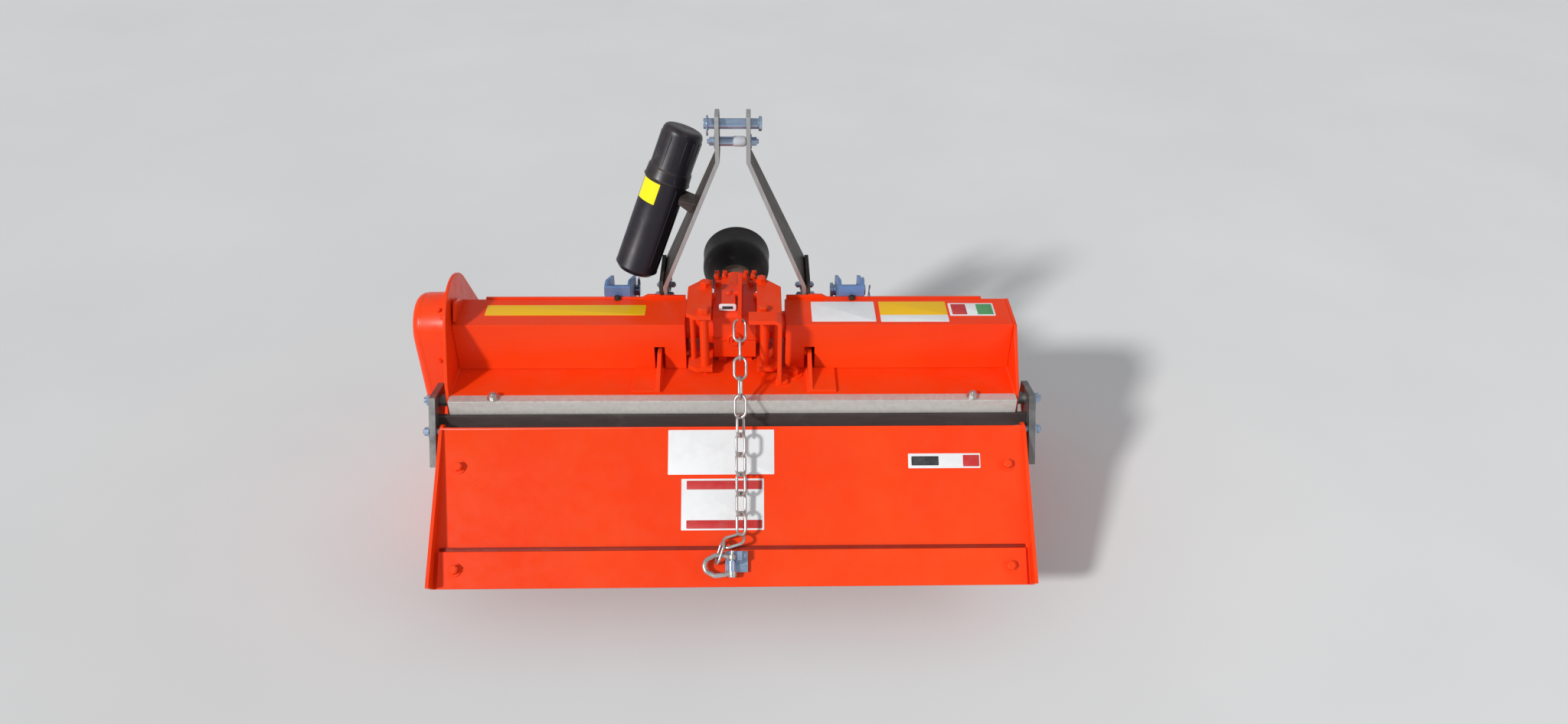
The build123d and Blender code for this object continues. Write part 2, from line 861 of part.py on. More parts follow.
lug_seat = leg_face(lug_z)
with BuildPart() as tube_bracket:
    with BuildSketch(level(lug_z)):
        Polygon(
            (lug_seat, strap_middle.Y - lug_tip),
            (lug_seat, strap_middle.Y + lug_tip),
            (strap_middle.X, strap_middle.Y + lug_root),
            (strap_middle.X, strap_middle.Y - lug_root),
            align=None,
        )
    extrude(amount=lug_sheet)
    with BuildSketch(tube_plane.offset(strap_along)):
        RegularPolygon(strap_bore + strap_sheet, large_sides)
    extrude(amount=strap_width)
    with BuildSketch(tube_plane.offset(strap_along - 2 * strap_width)):
        RegularPolygon(strap_bore, large_sides)
    extrude(amount=5 * strap_width, mode=Mode.SUBTRACT)
keep(tube_bracket.part, "tube_bracket")

# Rear arms outside the side plates, with the bars between them
arm_boss = 12.0
arm_nose = hinge_y + 92.0
boss_y_arm = hinge_y + 57.0
boss_z_arm = hinge_z + 29.0
nose_top = hinge_z + 43.0
nose_under = hinge_z + 19.0
knee_y = hinge_y + 24.0
knee_z = hinge_z + 59.0
tail_y = hinge_y - 44.0
tail_z = hinge_z - 49.0
heel_y = hinge_y - 22.0
heel_z = hinge_z - 61.0
elbow_y = hinge_y + 42.0
elbow_z = hinge_z - 15.0
arm_outline = [
    (arm_nose, nose_top),
    (knee_y, knee_z),
    (tail_y, tail_z),
    (heel_y, heel_z),
    (elbow_y, elbow_z),
    (arm_nose, nose_under),
]
for name, side in (("arm_left", -1), ("arm_right", 1)):
    with BuildPart() as arm:
        with BuildSketch(across(arm_in if side > 0 else -arm_out)):
            Polygon(*arm_outline, align=None)
            with Locations((hinge_y, hinge_z)):
                Circle(hinge_radius + clear, mode=Mode.SUBTRACT)
        extrude(amount=arm_plate)
        with BuildSketch(across(plate_out if side > 0 else -arm_in)):
            with Locations((boss_y_arm, boss_z_arm)):
                RegularPolygon(arm_boss, small_sides)
        extrude(amount=arm_gap)
    keep(arm.part, name)

with BuildPart() as cross_plate:
    with BuildSketch(across(-arm_in)):
        with Locations(((cross_rear + cross_front) / 2, hood_top - angle_drop - cross_high / 2)):
            Rectangle(cross_thick, cross_high)
    extrude(amount=2 * arm_in)
keep(cross_plate.part, "cross_plate")

# Galvanised angle along the hood's rear edge
with BuildPart() as galvanised_bar:
    with BuildSketch(across(-half)):
        with BuildLine():
            Polyline((-hood_back, hood_top), (angle_rear, hood_top), (angle_rear, hood_top - angle_drop))
            offset(amount=angle_sheet, side=Side.LEFT)
        make_face()
    extrude(amount=work_width)
keep(galvanised_bar.part, "galvanised_bar")

# Comb: square tines that hang from a flat bar and follow the rotor's swing
comb_depth = 30.0
comb_height = 22.0
comb_z = hood_top - 39.0
tine_side = 12.0
tine_gap = 17.0
tine_swing = rotor_radius + tine_gap + tine_side / 2
tine_pitch = 40.0
tine_count = int((work_width - tine_pitch) / tine_pitch)
tine_end = 234.0
tine_bends = 4
tine_head = (cross_front + comb_depth / 2, comb_z + comb_height / 4 - rotor_z)
head_reach = hypot(*tine_head)
tine_start = degrees(atan2(tine_head[1], tine_head[0])) + degrees(acos(tine_swing / head_reach))
head_run = sqrt(head_reach**2 - tine_swing**2)


def round_rotor(turn, reach, along=0):
    """A side-view point at an angle and reach from the rotor's axis, then along the tangent."""
    turn = radians(turn)
    return (reach * cos(turn) + along * sin(turn), rotor_z + reach * sin(turn) - along * cos(turn))


turns = [tine_start + (tine_end - tine_start) * number / tine_bends for number in range(tine_bends + 1)]
tine_in = tine_swing - tine_side / 2
tine_out = tine_swing + tine_side / 2
with BuildPart() as comb:
    with BuildSketch(across(-half)):
        with Locations((cross_front + comb_depth / 2, comb_z + comb_height / 2)):
            Rectangle(comb_depth, comb_height)
    extrude(amount=work_width)
    for number in range(tine_count):
        x = (number - (tine_count - 1) / 2) * tine_pitch
        with BuildSketch(across(x - tine_side / 2)):
            Polygon(
                round_rotor(tine_start, tine_in, head_run),
                *[round_rotor(turn, tine_in) for turn in turns],
                *[round_rotor(turn, tine_out) for turn in reversed(turns)],
                round_rotor(tine_start, tine_out, head_run),
                align=None,
            )
        extrude(amount=tine_side)
keep(comb.part, "comb")

# Ties on the hood, one in line with each leg of the mast, with a foot plate outwards
tie_rear = -hood_back + 4.0
tie_high = 39.0
tie_foot = 48.0
tie_foot_plate = 6.0
tie_slope = 8.0
tie_foot_front = beam_rear - 9.0
for name, side in (("tie_left", -1), ("tie_right", 1)):
    with BuildPart() as tie:
        with BuildSketch(across(side * tie_middle - tie_plate / 2)):
            Polygon(
                (tie_rear, hood_top),
                (beam_front - sheet, hood_top),
                (beam_front - sheet, hood_top + tie_high),
                (beam_rear - tie_slope, hood_top + tie_high),
                (tie_rear, hood_top + tie_foot_plate),
                align=None,
            )
            with Locations((drive_y, drive_z)):
                Circle(axle_radius + clear, mode=Mode.SUBTRACT)
        extrude(amount=tie_plate)
        with BuildSketch(level(hood_top)):
            with Locations((side * (tie_middle + tie_foot / 2), (tie_rear + tie_foot_front) / 2)):
                Rectangle(tie_foot, tie_foot_front - tie_rear)
        extrude(amount=tie_foot_plate)
    keep(tie.part, name)


# Rear board: points are drawn by distance down its face and height off it
def board_at(down, off):
    """A side-view point at a distance down the board and off its rear face."""
    return (
        hinge_y - down * cos(fall) - off * sin(fall),
        hinge_z - down * sin(fall) + off * cos(fall),
    )


crease_down = 86.0
crease_off = 8.0
head_off = 14.0
ear_radius = 13.0
head_down = -4.0
flange_root = 6.0
flange_rise = 14.0
flange_clip = 16.0
flange_head = 4.0
with BuildPart() as rear_board:
    with BuildSketch(across(-board_half)):
        with BuildLine():
            Polyline(board_at(head_down, head_off), board_at(crease_down, crease_off), board_at(board_reach, 0))
            offset(amount=board_sheet, side=Side.LEFT)
        make_face()
    extrude(amount=2 * board_half)
    for start in (-board_half, board_half - plate):
        with BuildSketch(across(start)):
            Polygon(
                board_at(0, -ear_radius),
                board_at(crease_down, crease_off - flange_root),
                board_at(board_reach, -board_sheet),
                board_at(board_reach, flange_high),
                board_at(board_reach - flange_clip, flange_high),
                board_at(crease_down, crease_off + flange_rise),
                board_at(0, head_off + flange_head),
                align=None,
            )
            with Locations((hinge_y, hinge_z)):
                Circle(ear_radius)
                Circle(hinge_radius, mode=Mode.SUBTRACT)
        extrude(amount=plate)
keep(rear_board.part, "rear_board")

strip_half = 526.0
strip_plate = 8.0
strip_high = 65.5


def face_off(down):
    """How far the board's lower face stands off its straight line."""
    return crease_off * (board_reach - down) / (board_reach - crease_down)


with BuildPart() as board_strip:
    with BuildSketch(across(-strip_half)):
        with BuildLine():
            Polyline(
                board_at(board_reach - strip_high, face_off(board_reach - strip_high)),
                board_at(board_reach, 0),
            )
            offset(amount=strip_plate, side=Side.RIGHT)
        make_face()
    extrude(amount=2 * strip_half)
keep(board_strip.part, "board_strip")

# Hinge bolts through the arms and the board's ends
bolt_inside = 8.0
bolt_in = board_half - plate - bolt_inside
for name, start, end in [
    ("hinge_bolt_left", -arm_out - bolt_out, -bolt_in),
    ("hinge_bolt_right", bolt_in, arm_out + bolt_out),
]:
    with BuildPart() as bolt:
        with BuildSketch(across(start)):
            with Locations((hinge_y, hinge_z)):
                Circle(hinge_radius)
        extrude(amount=end - start)
    keep(bolt.part, name)

# Lug on the board's strip: a base plate, an ear for the chain and a barrel for the shackle
base_left = -15.5
base_wide = 40.0
base_back = 62.0
base_head = board_reach - base_back
base_long = 37.0
base_thick = 8.0
ear_plate = 8.0
ear_x = fin_x + fin_plate / 2 - ear_plate / 2
eye_radius = 7.0
ear_root = 24.0
ear_round = 8.0
ear_over = 9.0
eye_down = base_head + 10.0
eye_off = face_off(base_head) + strip_plate + base_thick + 12.0
barrel_x = -4.0
barrel_radius = 7.5
barrel_long = 18.0
shackle_pin = 4.0
barrel_off = face_off(base_head) + strip_plate + base_thick + barrel_radius - 1.0


def seat_off(down):
    """The height of the strip's outer face off the board's straight line."""
    return face_off(down) + strip_plate


def along_board(x, down, off):
    """A plane across the board's fall at a point on it; its normal points up the board."""
    fore, height = board_at(down, off)
    return Plane(origin=(mid_x + x, mid_y + fore, height), x_dir=(1, 0, 0), z_dir=(0, cos(fall), sin(fall)))


def flat_on_board(x, down, off):
    """A plane lying along the board at a point on it, drawn in (across, up the board)."""
    fore, height = board_at(down, off)
    return Plane(origin=(mid_x + x, mid_y + fore, height), x_dir=(1, 0, 0), z_dir=(0, -sin(fall), cos(fall)))


base_foot = base_head + base_long
barrel_down = base_head + base_long / 2 + 9.0
with BuildPart() as chain_lug:
    with BuildSketch(across(base_left)):
        Polygon(
            board_at(base_head, seat_off(base_head)),
            board_at(base_foot, seat_off(base_foot)),
            board_at(base_foot, seat_off(base_foot) + base_thick),
            board_at(base_head, seat_off(base_head) + base_thick),
            align=None,
        )
    extrude(amount=base_wide)
    with BuildSketch(across(ear_x)):
        Polygon(
            board_at(base_head, seat_off(base_head) + base_thick / 2),
            board_at(base_head + ear_root, seat_off(base_head) + base_thick / 2),
            board_at(eye_down + ear_round, eye_off + ear_over),
            board_at(eye_down - ear_round, eye_off + ear_over),
            align=None,
        )
        with Locations(board_at(eye_down, eye_off)):
            Circle(eye_radius, mode=Mode.SUBTRACT)
    extrude(amount=ear_plate)
    with BuildSketch(along_board(barrel_x, barrel_down + barrel_long / 2, barrel_off)):
        RegularPolygon(barrel_radius, small_sides)
        RegularPolygon(shackle_pin + clear, pin_sides, mode=Mode.SUBTRACT)
    extrude(amount=barrel_long)
keep(chain_lug.part, "chain_lug")

# Shackle: a bow lying on the board to the left, closed by a pin through the barrel
bow_long = 52.0
bow_wide = 34.0
bow_bar = 7.0
pin_spare = 3.0
with BuildPart() as shackle:
    with BuildSketch(flat_on_board(barrel_x, barrel_down, barrel_off - bow_bar / 2)):
        for bar, mode in ((0, Mode.ADD), (bow_bar, Mode.SUBTRACT)):
            wide = bow_wide - 2 * bar
            Polygon(*cut_corners(2 * (bow_long - bar), wide, corner_share * wide), align=None, mode=mode)
        with Locations((bow_long, 0)):
            Rectangle(2 * bow_long, 2 * bow_wide, mode=Mode.SUBTRACT)
    extrude(amount=bow_bar)
    with BuildSketch(along_board(barrel_x, barrel_down + bow_wide / 2 + pin_spare, barrel_off)):
        RegularPolygon(shackle_pin, pin_sides)
    extrude(amount=bow_wide + 2 * pin_spare)
keep(shackle.part, "shackle")

# Chain from the fin down to the lug's ear, every other link turned a quarter
link_wire = 5.5
link_width = 12.0
link_count = 11
link_slack = 1.3
eye_seat = 4.6
eye_y, eye_z = board_at(eye_down, eye_off)
chain_x = mid_x + fin_x + fin_plate / 2
chain_top = Vector(chain_x, mid_y + fin_y, fin_z)
chain_foot = Vector(chain_x, mid_y + eye_y, eye_z)
chain_run = (chain_foot - chain_top).length
chain_way = (chain_foot - chain_top).normalized()
link_inside = (chain_run - 2 * eye_seat + link_slack * (link_count - 1)) / link_count
chain_side = Vector(1, 0, 0).cross(chain_way).normalized()
with BuildPart() as chain:
    for number in range(link_count):
        centre = chain_top + chain_way * (eye_seat + link_inside / 2 + number * (link_inside - link_slack))
        flat = Plane(origin=centre, x_dir=chain_way, z_dir=chain_side)
        if number % 2:
            flat = Plane(origin=centre, x_dir=chain_way, z_dir=flat.y_dir)
        with BuildSketch(flat.offset(-link_wire / 2)):
            for wire, mode in ((link_wire, Mode.ADD), (0, Mode.SUBTRACT)):
                wide = link_width + 2 * wire
                Polygon(*cut_corners(link_inside + 2 * wire, wide, corner_share * wide), align=None, mode=mode)
        extrude(amount=link_wire)
keep(chain.part, "chain")
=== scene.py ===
"""Stone burier: the finishes, fasteners, chain and small parts laid round its solids."""

import json
import math

import bmesh
import bpy
from mathutils import Matrix, Vector

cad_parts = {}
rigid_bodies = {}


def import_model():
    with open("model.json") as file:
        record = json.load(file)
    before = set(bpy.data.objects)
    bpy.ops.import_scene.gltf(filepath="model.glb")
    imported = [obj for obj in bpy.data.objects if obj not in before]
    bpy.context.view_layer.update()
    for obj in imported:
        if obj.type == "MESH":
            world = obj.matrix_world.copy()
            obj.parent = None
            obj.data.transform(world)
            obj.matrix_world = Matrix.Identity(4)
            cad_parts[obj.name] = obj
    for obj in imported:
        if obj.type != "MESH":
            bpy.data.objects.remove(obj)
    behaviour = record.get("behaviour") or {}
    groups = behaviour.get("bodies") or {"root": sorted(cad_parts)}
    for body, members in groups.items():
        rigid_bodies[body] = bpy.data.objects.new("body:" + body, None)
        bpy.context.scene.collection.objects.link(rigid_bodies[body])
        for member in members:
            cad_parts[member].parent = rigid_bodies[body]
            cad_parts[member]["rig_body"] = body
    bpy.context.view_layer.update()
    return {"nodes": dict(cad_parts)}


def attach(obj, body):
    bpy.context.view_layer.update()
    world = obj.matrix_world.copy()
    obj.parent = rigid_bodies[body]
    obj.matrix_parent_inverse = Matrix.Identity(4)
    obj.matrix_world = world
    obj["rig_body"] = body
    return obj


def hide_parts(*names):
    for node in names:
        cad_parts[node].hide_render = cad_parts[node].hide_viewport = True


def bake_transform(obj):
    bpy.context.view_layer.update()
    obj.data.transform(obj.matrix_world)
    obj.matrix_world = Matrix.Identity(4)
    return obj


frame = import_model()

# Places are in millimetres: across from the middle, forward from the rotor's axis, up from the floor
MIDDLE, ROTOR_AXIS = 8.5, 92.65
WORK_HALF, ARM_OUT, CASE_FLANGE = 525, 558, -537
ROTOR_UP, DRIVE_UP, HOOD_TOP, COVER_TOP, GEARBOX_TOP, CLAMP_TOP = 175, 424, 361, 459, 478, 498
HINGE_FORE, HINGE_UP = -192, 311
HITCH_OUT, HITCH_FORE, HITCH_UP = 226, 112, 425
NOSE_FORE, BELL_FORE = 112, 118
YOKE_FORE, SPACER_UP, TOP_PIN_UP = 65, 770, 804

# Angles and distances that tell a real edge from a facet's
SMOOTH_UNDER, EASED_OVER, IN_LINE = math.radians(32), math.radians(34), math.radians(0.6)
SAME_PLACE = 2e-6
SAWN_FACE = 0.2


def spot(across, fore, up):
    """A place on the machine, in metres in the row frame."""
    return Vector(((across + MIDDLE) / 1000, (fore + ROTOR_AXIS) / 1000, up / 1000))


class Finish:
    """A material laid up from layers of noise on the object's own coordinates."""

    def __init__(self, name, colour, roughness, metallic=0.0, **constants):
        self.material = bpy.data.materials.new(name)
        self.material.use_nodes = True
        self.tree = self.material.node_tree
        self.shader = self.tree.nodes["Principled BSDF"]
        self.shader.inputs["Base Color"].default_value = (*colour, 1)
        self.shader.inputs["Roughness"].default_value = roughness
        self.shader.inputs["Metallic"].default_value = metallic
        for socket, value in constants.items():
            self.shader.inputs[socket.replace("_", " ")].default_value = value
        self.where = self.node("ShaderNodeTexCoord").outputs["Object"]

    def node(self, kind, **settings):
        made = self.tree.nodes.new(kind)
        for key, value in settings.items():
            setattr(made, key, value)
        return made

    def feed(self, socket, source):
        """Links a source to a socket, or writes a plain number on it."""
        if isinstance(source, bpy.types.NodeSocket):
            self.tree.links.new(source, socket)
        else:
            socket.default_value = source

    def stretched(self, by):
        mapping = self.node("ShaderNodeMapping")
        self.feed(mapping.inputs["Vector"], self.where)
        mapping.inputs["Scale"].default_value = by
        return mapping.outputs["Vector"]

    def noise(self, scale, detail=4.0, rough=0.55, by=None):
        made = self.node("ShaderNodeTexNoise")
        self.feed(made.inputs["Vector"], self.stretched(by) if by else self.where)
        made.inputs["Scale"].default_value = scale
        made.inputs["Detail"].default_value = detail
        made.inputs["Roughness"].default_value = rough
        return made.outputs["Fac"]

    def cells(self, scale, what="Distance", by=None):
        made = self.node("ShaderNodeTexVoronoi")
        self.feed(made.inputs["Vector"], self.stretched(by) if by else self.where)
        made.inputs["Scale"].default_value = scale
        return made.outputs[what]

    def span(self, source, low, high, to_low=0.0, to_high=1.0):
        made = self.node("ShaderNodeMapRange")
        self.feed(made.inputs["Value"], source)
        sockets = ("From Min", "From Max", "To Min", "To Max")
        for socket, value in zip(sockets, (low, high, to_low, to_high)):
            made.inputs[socket].default_value = value
        return made.outputs["Result"]

    def sum(self, operation, first, second):
        made = self.node("ShaderNodeMath", operation=operation)
        self.feed(made.inputs[0], first)
        self.feed(made.inputs[1], second)
        return made.outputs[0]

    def mix(self, share, under, over):
        """Lays one colour over another, as far as share says."""
        made = self.node("ShaderNodeMix", data_type="RGBA")
        self.feed(made.inputs[0], share)
        for socket, tone in ((made.inputs[6], under), (made.inputs[7], over)):
            self.feed(socket, tone if isinstance(tone, bpy.types.NodeSocket) else (*tone, 1))
        return made.outputs[2]

    def paint(self, source):
        self.feed(self.shader.inputs["Base Color"], source)

    def polish(self, source):
        self.feed(self.shader.inputs["Roughness"], source)

    def relief(self, *layers):
        """Stacks bumps, each a (height, strength, depth in metres)."""
        last = None
        for height, strength, depth in layers:
            made = self.node("ShaderNodeBump")
            made.inputs["Strength"].default_value = strength
            made.inputs["Distance"].default_value = depth
            self.feed(made.inputs["Height"], height)
            if last:
                self.feed(made.inputs["Normal"], last)
            last = made.outputs["Normal"]
        self.feed(self.shader.inputs["Normal"], last)

    def facing_up(self, start=0.5, full=0.95):
        """How far a face looks up, where dust settles."""
        split = self.node("ShaderNodeSeparateXYZ")
        self.feed(split.inputs[0], self.node("ShaderNodeNewGeometry").outputs["True Normal"])
        return self.span(split.outputs[2], start, full)


DUST = (0.30, 0.22, 0.14)
ORANGE = (0.90, 0.044, 0.003)
ORANGE_FADED = (0.93, 0.062, 0.006)
STEEL_UNDER = (0.20, 0.19, 0.18)
RUST = (0.20, 0.075, 0.03)
SCUFF = (0.22, 0.21, 0.20)
DIRT_FLECK = (0.10, 0.05, 0.03)
FILM_DUST = (0.42, 0.38, 0.32)
ZINC_DRAIN = (0.44, 0.43, 0.40)


def painted(name, colour, faded, roughness, grain, grain_depth, dust=0.07):
    """Gloss enamel: a slow drift of tone, a little settled dust, dirt specks and an orange-peel skin."""
    gloss = {"Coat_Weight": 0.04, "Coat_Roughness": 0.15, "Specular_IOR_Level": 0.22}
    made = Finish(name, colour, roughness, **gloss)
    drift = made.span(made.noise(3.2, 3, 0.5), 0.35, 0.68)
    tone = made.mix(drift, colour, faded)
    settled = made.span(made.noise(26, 6, 0.62), 0.42, 0.75, 0.0, dust)
    film = made.sum("MULTIPLY", made.facing_up(), settled)
    tone = made.mix(film, tone, DUST)
    fleck = made.span(made.cells(46), 0.055, 0.035)
    rare = made.span(made.noise(9, 2), 0.60, 0.66, 0.0, 0.7)
    tone = made.mix(made.sum("MULTIPLY", fleck, rare), tone, DIRT_FLECK)
    made.paint(tone)
    made.polish(made.span(made.noise(38, 5, 0.6), 0.3, 0.75, roughness - 0.06, roughness + 0.12))
    made.relief((made.noise(grain, 2, 0.5), 0.35, grain_depth), (made.noise(7, 2), 0.25, 0.0012))
    return made.material


def bare_steel(name, colour, streak_colour, roughness, metallic, by, marks=0.5, shine=0.5):
    """Rolled or plated steel with streaks along its length and handling marks."""
    made = Finish(name, colour, roughness, metallic, Specular_IOR_Level=shine)
    streaks = made.span(made.noise(30, 6, 0.7, by), 0.32, 0.72)
    tone = made.mix(streaks, colour, streak_colour)
    stain = made.span(made.noise(14, 5, 0.65), 0.55, 0.8, 0.0, marks)
    made.paint(made.mix(stain, tone, STEEL_UNDER))
    made.polish(made.span(streaks, 0, 1, roughness - 0.08, roughness + 0.12))
    made.relief((made.noise(160, 4, 0.6, by), 0.25, 0.0002), (made.noise(420, 2), 0.2, 0.0001))
    return made.material


def spangled_zinc(name):
    """Hot-dip zinc: crystals of slightly different grey, and drain streaks along the bar."""
    made = Finish(name, (0.62, 0.62, 0.59), 0.42, 0.45)
    crystal = made.span(made.cells(170, "Color"), 0.1, 0.9)
    tone = made.mix(crystal, (0.61, 0.62, 0.58), (0.67, 0.68, 0.64))
    drain = made.span(made.noise(12, 5, 0.6, (0.15, 3, 3)), 0.4, 0.75, 0.0, 0.35)
    made.paint(made.mix(drain, tone, ZINC_DRAIN))
    made.polish(made.span(crystal, 0, 1, 0.3, 0.48))
    made.relief((made.noise(90, 3), 0.15, 0.0003))
    return made.material


def moulded_plastic(name, colour, roughness, dust=0.22):
    """Black moulded plastic with dust in its grain and pale scuffs."""
    made = Finish(name, colour, roughness, Specular_IOR_Level=0.38)
    scuff = made.span(made.noise(55, 6, 0.7, (1, 1, 0.25)), 0.62, 0.72, 0.0, 0.25)
    tone = made.mix(scuff, colour, SCUFF)
    settled = made.span(made.noise(18, 5), 0.4, 0.7, 0.0, dust)
    film = made.sum("MULTIPLY", made.facing_up(0.2, 0.9), settled)
    made.paint(made.mix(film, tone, DUST))
    made.polish(made.span(made.noise(30, 4), 0.3, 0.7, roughness - 0.05, roughness + 0.1))
    made.relief((made.noise(700, 2), 0.2, 0.0001), (made.noise(12, 2), 0.2, 0.0008))
    return made.material


def worn_steel(name, colour, bright, roughness):
    """Steel that works in soil: dark skin rubbed bright, with rust in the hollows."""
    made = Finish(name, colour, roughness, 0.75)
    rub = made.span(made.noise(22, 6, 0.65), 0.45, 0.62)
    tone = made.mix(rub, colour, bright)
    rust = made.span(made.noise(34, 7, 0.7), 0.56, 0.7, 0.0, 0.75)
    made.paint(made.mix(rust, tone, RUST))
    made.polish(made.span(rub, 0, 1, roughness + 0.15, roughness - 0.08))
    made.relief((made.noise(120, 5, 0.65), 0.4, 0.0005))
    return made.material


def blank_plate(name, colour, dust=0.16):
    """A plain printed film with nothing on it, a little dusty."""
    roughness = 0.34
    made = Finish(name, colour, roughness, Coat_Weight=0.05, Specular_IOR_Level=0.3)
    film = made.span(made.noise(40, 6, 0.65), 0.45, 0.8, 0.0, dust)
    made.paint(made.mix(film, colour, FILM_DUST))
    made.polish(made.span(made.noise(60, 3), 0.3, 0.7, roughness - 0.06, roughness + 0.1))
    made.relief((made.noise(300, 2), 0.08, 0.0001))
    return made.material


# How each finish is laid up, and with what
LAYERS = {
    "sheet paint": (painted, ORANGE, ORANGE_FADED, 0.30, 620, 0.00012),
    "cast paint": (painted, (0.86, 0.048, 0.004), ORANGE_FADED, 0.38, 260, 0.0005, 0.14),
    "mill steel": (
        bare_steel, (0.034, 0.025, 0.020), (0.074, 0.058, 0.050), 0.46, 0.0,
        (3, 3, 0.3), 0.10, 0.10,
    ),
    "cut steel": (bare_steel, (0.36, 0.36, 0.36), (0.50, 0.50, 0.49), 0.36, 0.5, (3, 3, 0.4), 0.3),
    "arm steel": (bare_steel, (0.16, 0.16, 0.16), (0.27, 0.27, 0.26), 0.42, 0.7, (1, 1, 1), 0.4),
    "spangled zinc": (spangled_zinc,),
    "bright zinc": (bare_steel, (0.30, 0.41, 0.58), (0.47, 0.56, 0.70), 0.28, 0.7, (0.6, 3, 3), 0.2),
    # Zinc whose strong blue base colour is a painted reflection of the sky
    "blue zinc": (bare_steel, (0.13, 0.25, 0.53), (0.19, 0.33, 0.62), 0.44, 0.3, (1, 1, 1), 0.08),
    "chain steel": (bare_steel, (0.44, 0.43, 0.41), (0.60, 0.58, 0.56), 0.32, 0.8, (1, 1, 1), 0.55),
    "tube plastic": (moulded_plastic, (0.017, 0.014, 0.021), 0.36),
    "guard plastic": (moulded_plastic, (0.010, 0.007, 0.007), 0.42, 0.07),
    "dusty neck": (moulded_plastic, (0.13, 0.078, 0.060), 0.6),
    "black enamel": (
        bare_steel, (0.048, 0.038, 0.036), (0.080, 0.065, 0.061), 0.44, 0.1,
        (0.3, 2, 2), 0.3, 0.3,
    ),
    "soil steel": (worn_steel, (0.10, 0.085, 0.075), (0.34, 0.32, 0.30), 0.42),
    "shaft steel": (bare_steel, (0.30, 0.29, 0.28), (0.40, 0.39, 0.37), 0.3, 0.9, (1, 0.3, 1), 0.35),
    "pale sleeve": (moulded_plastic, (0.64, 0.66, 0.70), 0.45, 0.1),
    "white film": (blank_plate, (0.80, 0.80, 0.80)),
    "yellow film": (blank_plate, (0.88, 0.50, 0.006), 0.06),
    "lemon film": (blank_plate, (0.92, 0.84, 0.010), 0.04),
    "red film": (blank_plate, (0.55, 0.03, 0.03)),
    "green film": (blank_plate, (0.08, 0.30, 0.11)),
    # Dark red, orange paint as it looks in shade: a painted shadow along the board's lap
    "seam seal": (painted, (0.22, 0.010, 0.002), (0.30, 0.014, 0.003), 0.5, 300, 0.0002),
    "ink film": (blank_plate, (0.03, 0.03, 0.035)),
}
FINISHES = {name: lay_up(name, *values) for name, (lay_up, *values) in LAYERS.items()}


def put(name, mesh, finish, body, stands_for=()):
    """Places a finished mesh in the scene, riding on its body."""
    piece = bpy.data.objects.new(name, mesh)
    bpy.context.scene.collection.objects.link(piece)
    if not mesh.materials:
        mesh.materials.append(FINISHES[finish])
    mesh.shade_smooth()
    mesh.set_sharp_from_angle(angle=SMOOTH_UNDER)
    if body:
        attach(piece, body)
    if stands_for:
        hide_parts(*stands_for)
    return piece


BODY_OF = {node: thing.get("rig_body") for node, thing in frame["nodes"].items()}


def plain(bm, name):
    """The plain mesh of an edit mesh, which is freed."""
    mesh = bpy.data.meshes.new(name)
    bm.to_mesh(mesh)
    bm.free()
    return mesh


def eased(node, finish, ease, edge_finish=None):
    """A welded copy of a solid whose sharp edges are eased as a folded or sawn edge is."""
    bm = bmesh.new()
    bm.from_mesh(frame["nodes"][node].data)
    bmesh.ops.remove_doubles(bm, verts=bm.verts, dist=SAME_PLACE)
    bmesh.ops.dissolve_limit(bm, angle_limit=IN_LINE, verts=bm.verts, edges=bm.edges)
    if edge_finish:
        for sawn in bm.faces:
            sawn.material_index = int(abs(sawn.normal.x) < SAWN_FACE)
    mesh = plain(bm, node + "_eased")
    piece = put(node + "_eased", mesh, finish, None)
    if edge_finish:
        mesh.materials.append(FINISHES[edge_finish])
    bevel = piece.modifiers.new("eased edges", "BEVEL")
    bevel.width, bevel.segments, bevel.limit_method = ease / 1000, 2, "ANGLE"
    bevel.angle_limit = EASED_OVER
    bevel.use_clamp_overlap, bevel.harden_normals = True, True
    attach(piece, BODY_OF[node])
    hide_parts(node)
    return piece


def pair(node, ease):
    """The rows of a left and a right solid."""
    return (node + "_left", ease), (node + "_right", ease)


# Each solid's finish, and how far its edges are eased, in millimetres
SHEETS = {
    "sheet paint": (
        ("hood", 1.0), *pair("side_plate", 1.2), *pair("beam_cover", 1.8), ("rear_board", 1.2),
        ("board_strip", 1.2), *pair("front_rail", 1.0), *pair("tie", 1.0), ("side_bracket", 1.4),
        ("chain_fin", 1.0), *pair("skid", 1.0), *pair("axle_tube", 1.0),
    ),
    "cast paint": (("gearbox", 3.0), *pair("clamp", 1.2), ("level_plug", 0.6), ("rotor_bearing", 1.5)),
    "mill steel": pair("mast_shoe", 1.0),
    "arm steel": pair("arm", 0.8),
    "black enamel": (("cross_plate", 0.6), ("rotor", 1.0)),
    "spangled zinc": (("galvanised_bar", 1.2),),
    "bright zinc": (
        ("top_pin", 1.0), *pair("hitch_pin", 1.0), *pair("hinge_bolt", 0.6), ("chain_lug", 1.2),
    ),
    # The hitch brackets are zinc, with a painted sky reflection in their blue colour
    "blue zinc": pair("hitch_bracket", 2.4),
    "soil steel": (("rotor_blades", 0.8),),
}

# Solids that the pieces further down stand for
REPLACED = {
    "mill steel": ("mast_leg_left", "mast_leg_right"),
    "tube plastic": ("document_tube", "tube_cap"),
    "guard plastic": ("guard_bell",),
    "chain steel": ("chain", "shackle"),
    "sheet paint": ("chain_case", "chain_case_cover"),
    "cast paint": ("guard_ring",),
    "black enamel": ("comb", "tube_bracket"),
    "shaft steel": ("input_shaft",),
    "bright zinc": ("mast_spacer",),
}


def dress(node, finish):
    """Gives a solid the finish of the piece that stands for it."""
    slots = frame["nodes"][node].data.materials
    slots.clear()
    slots.append(FINISHES[finish])


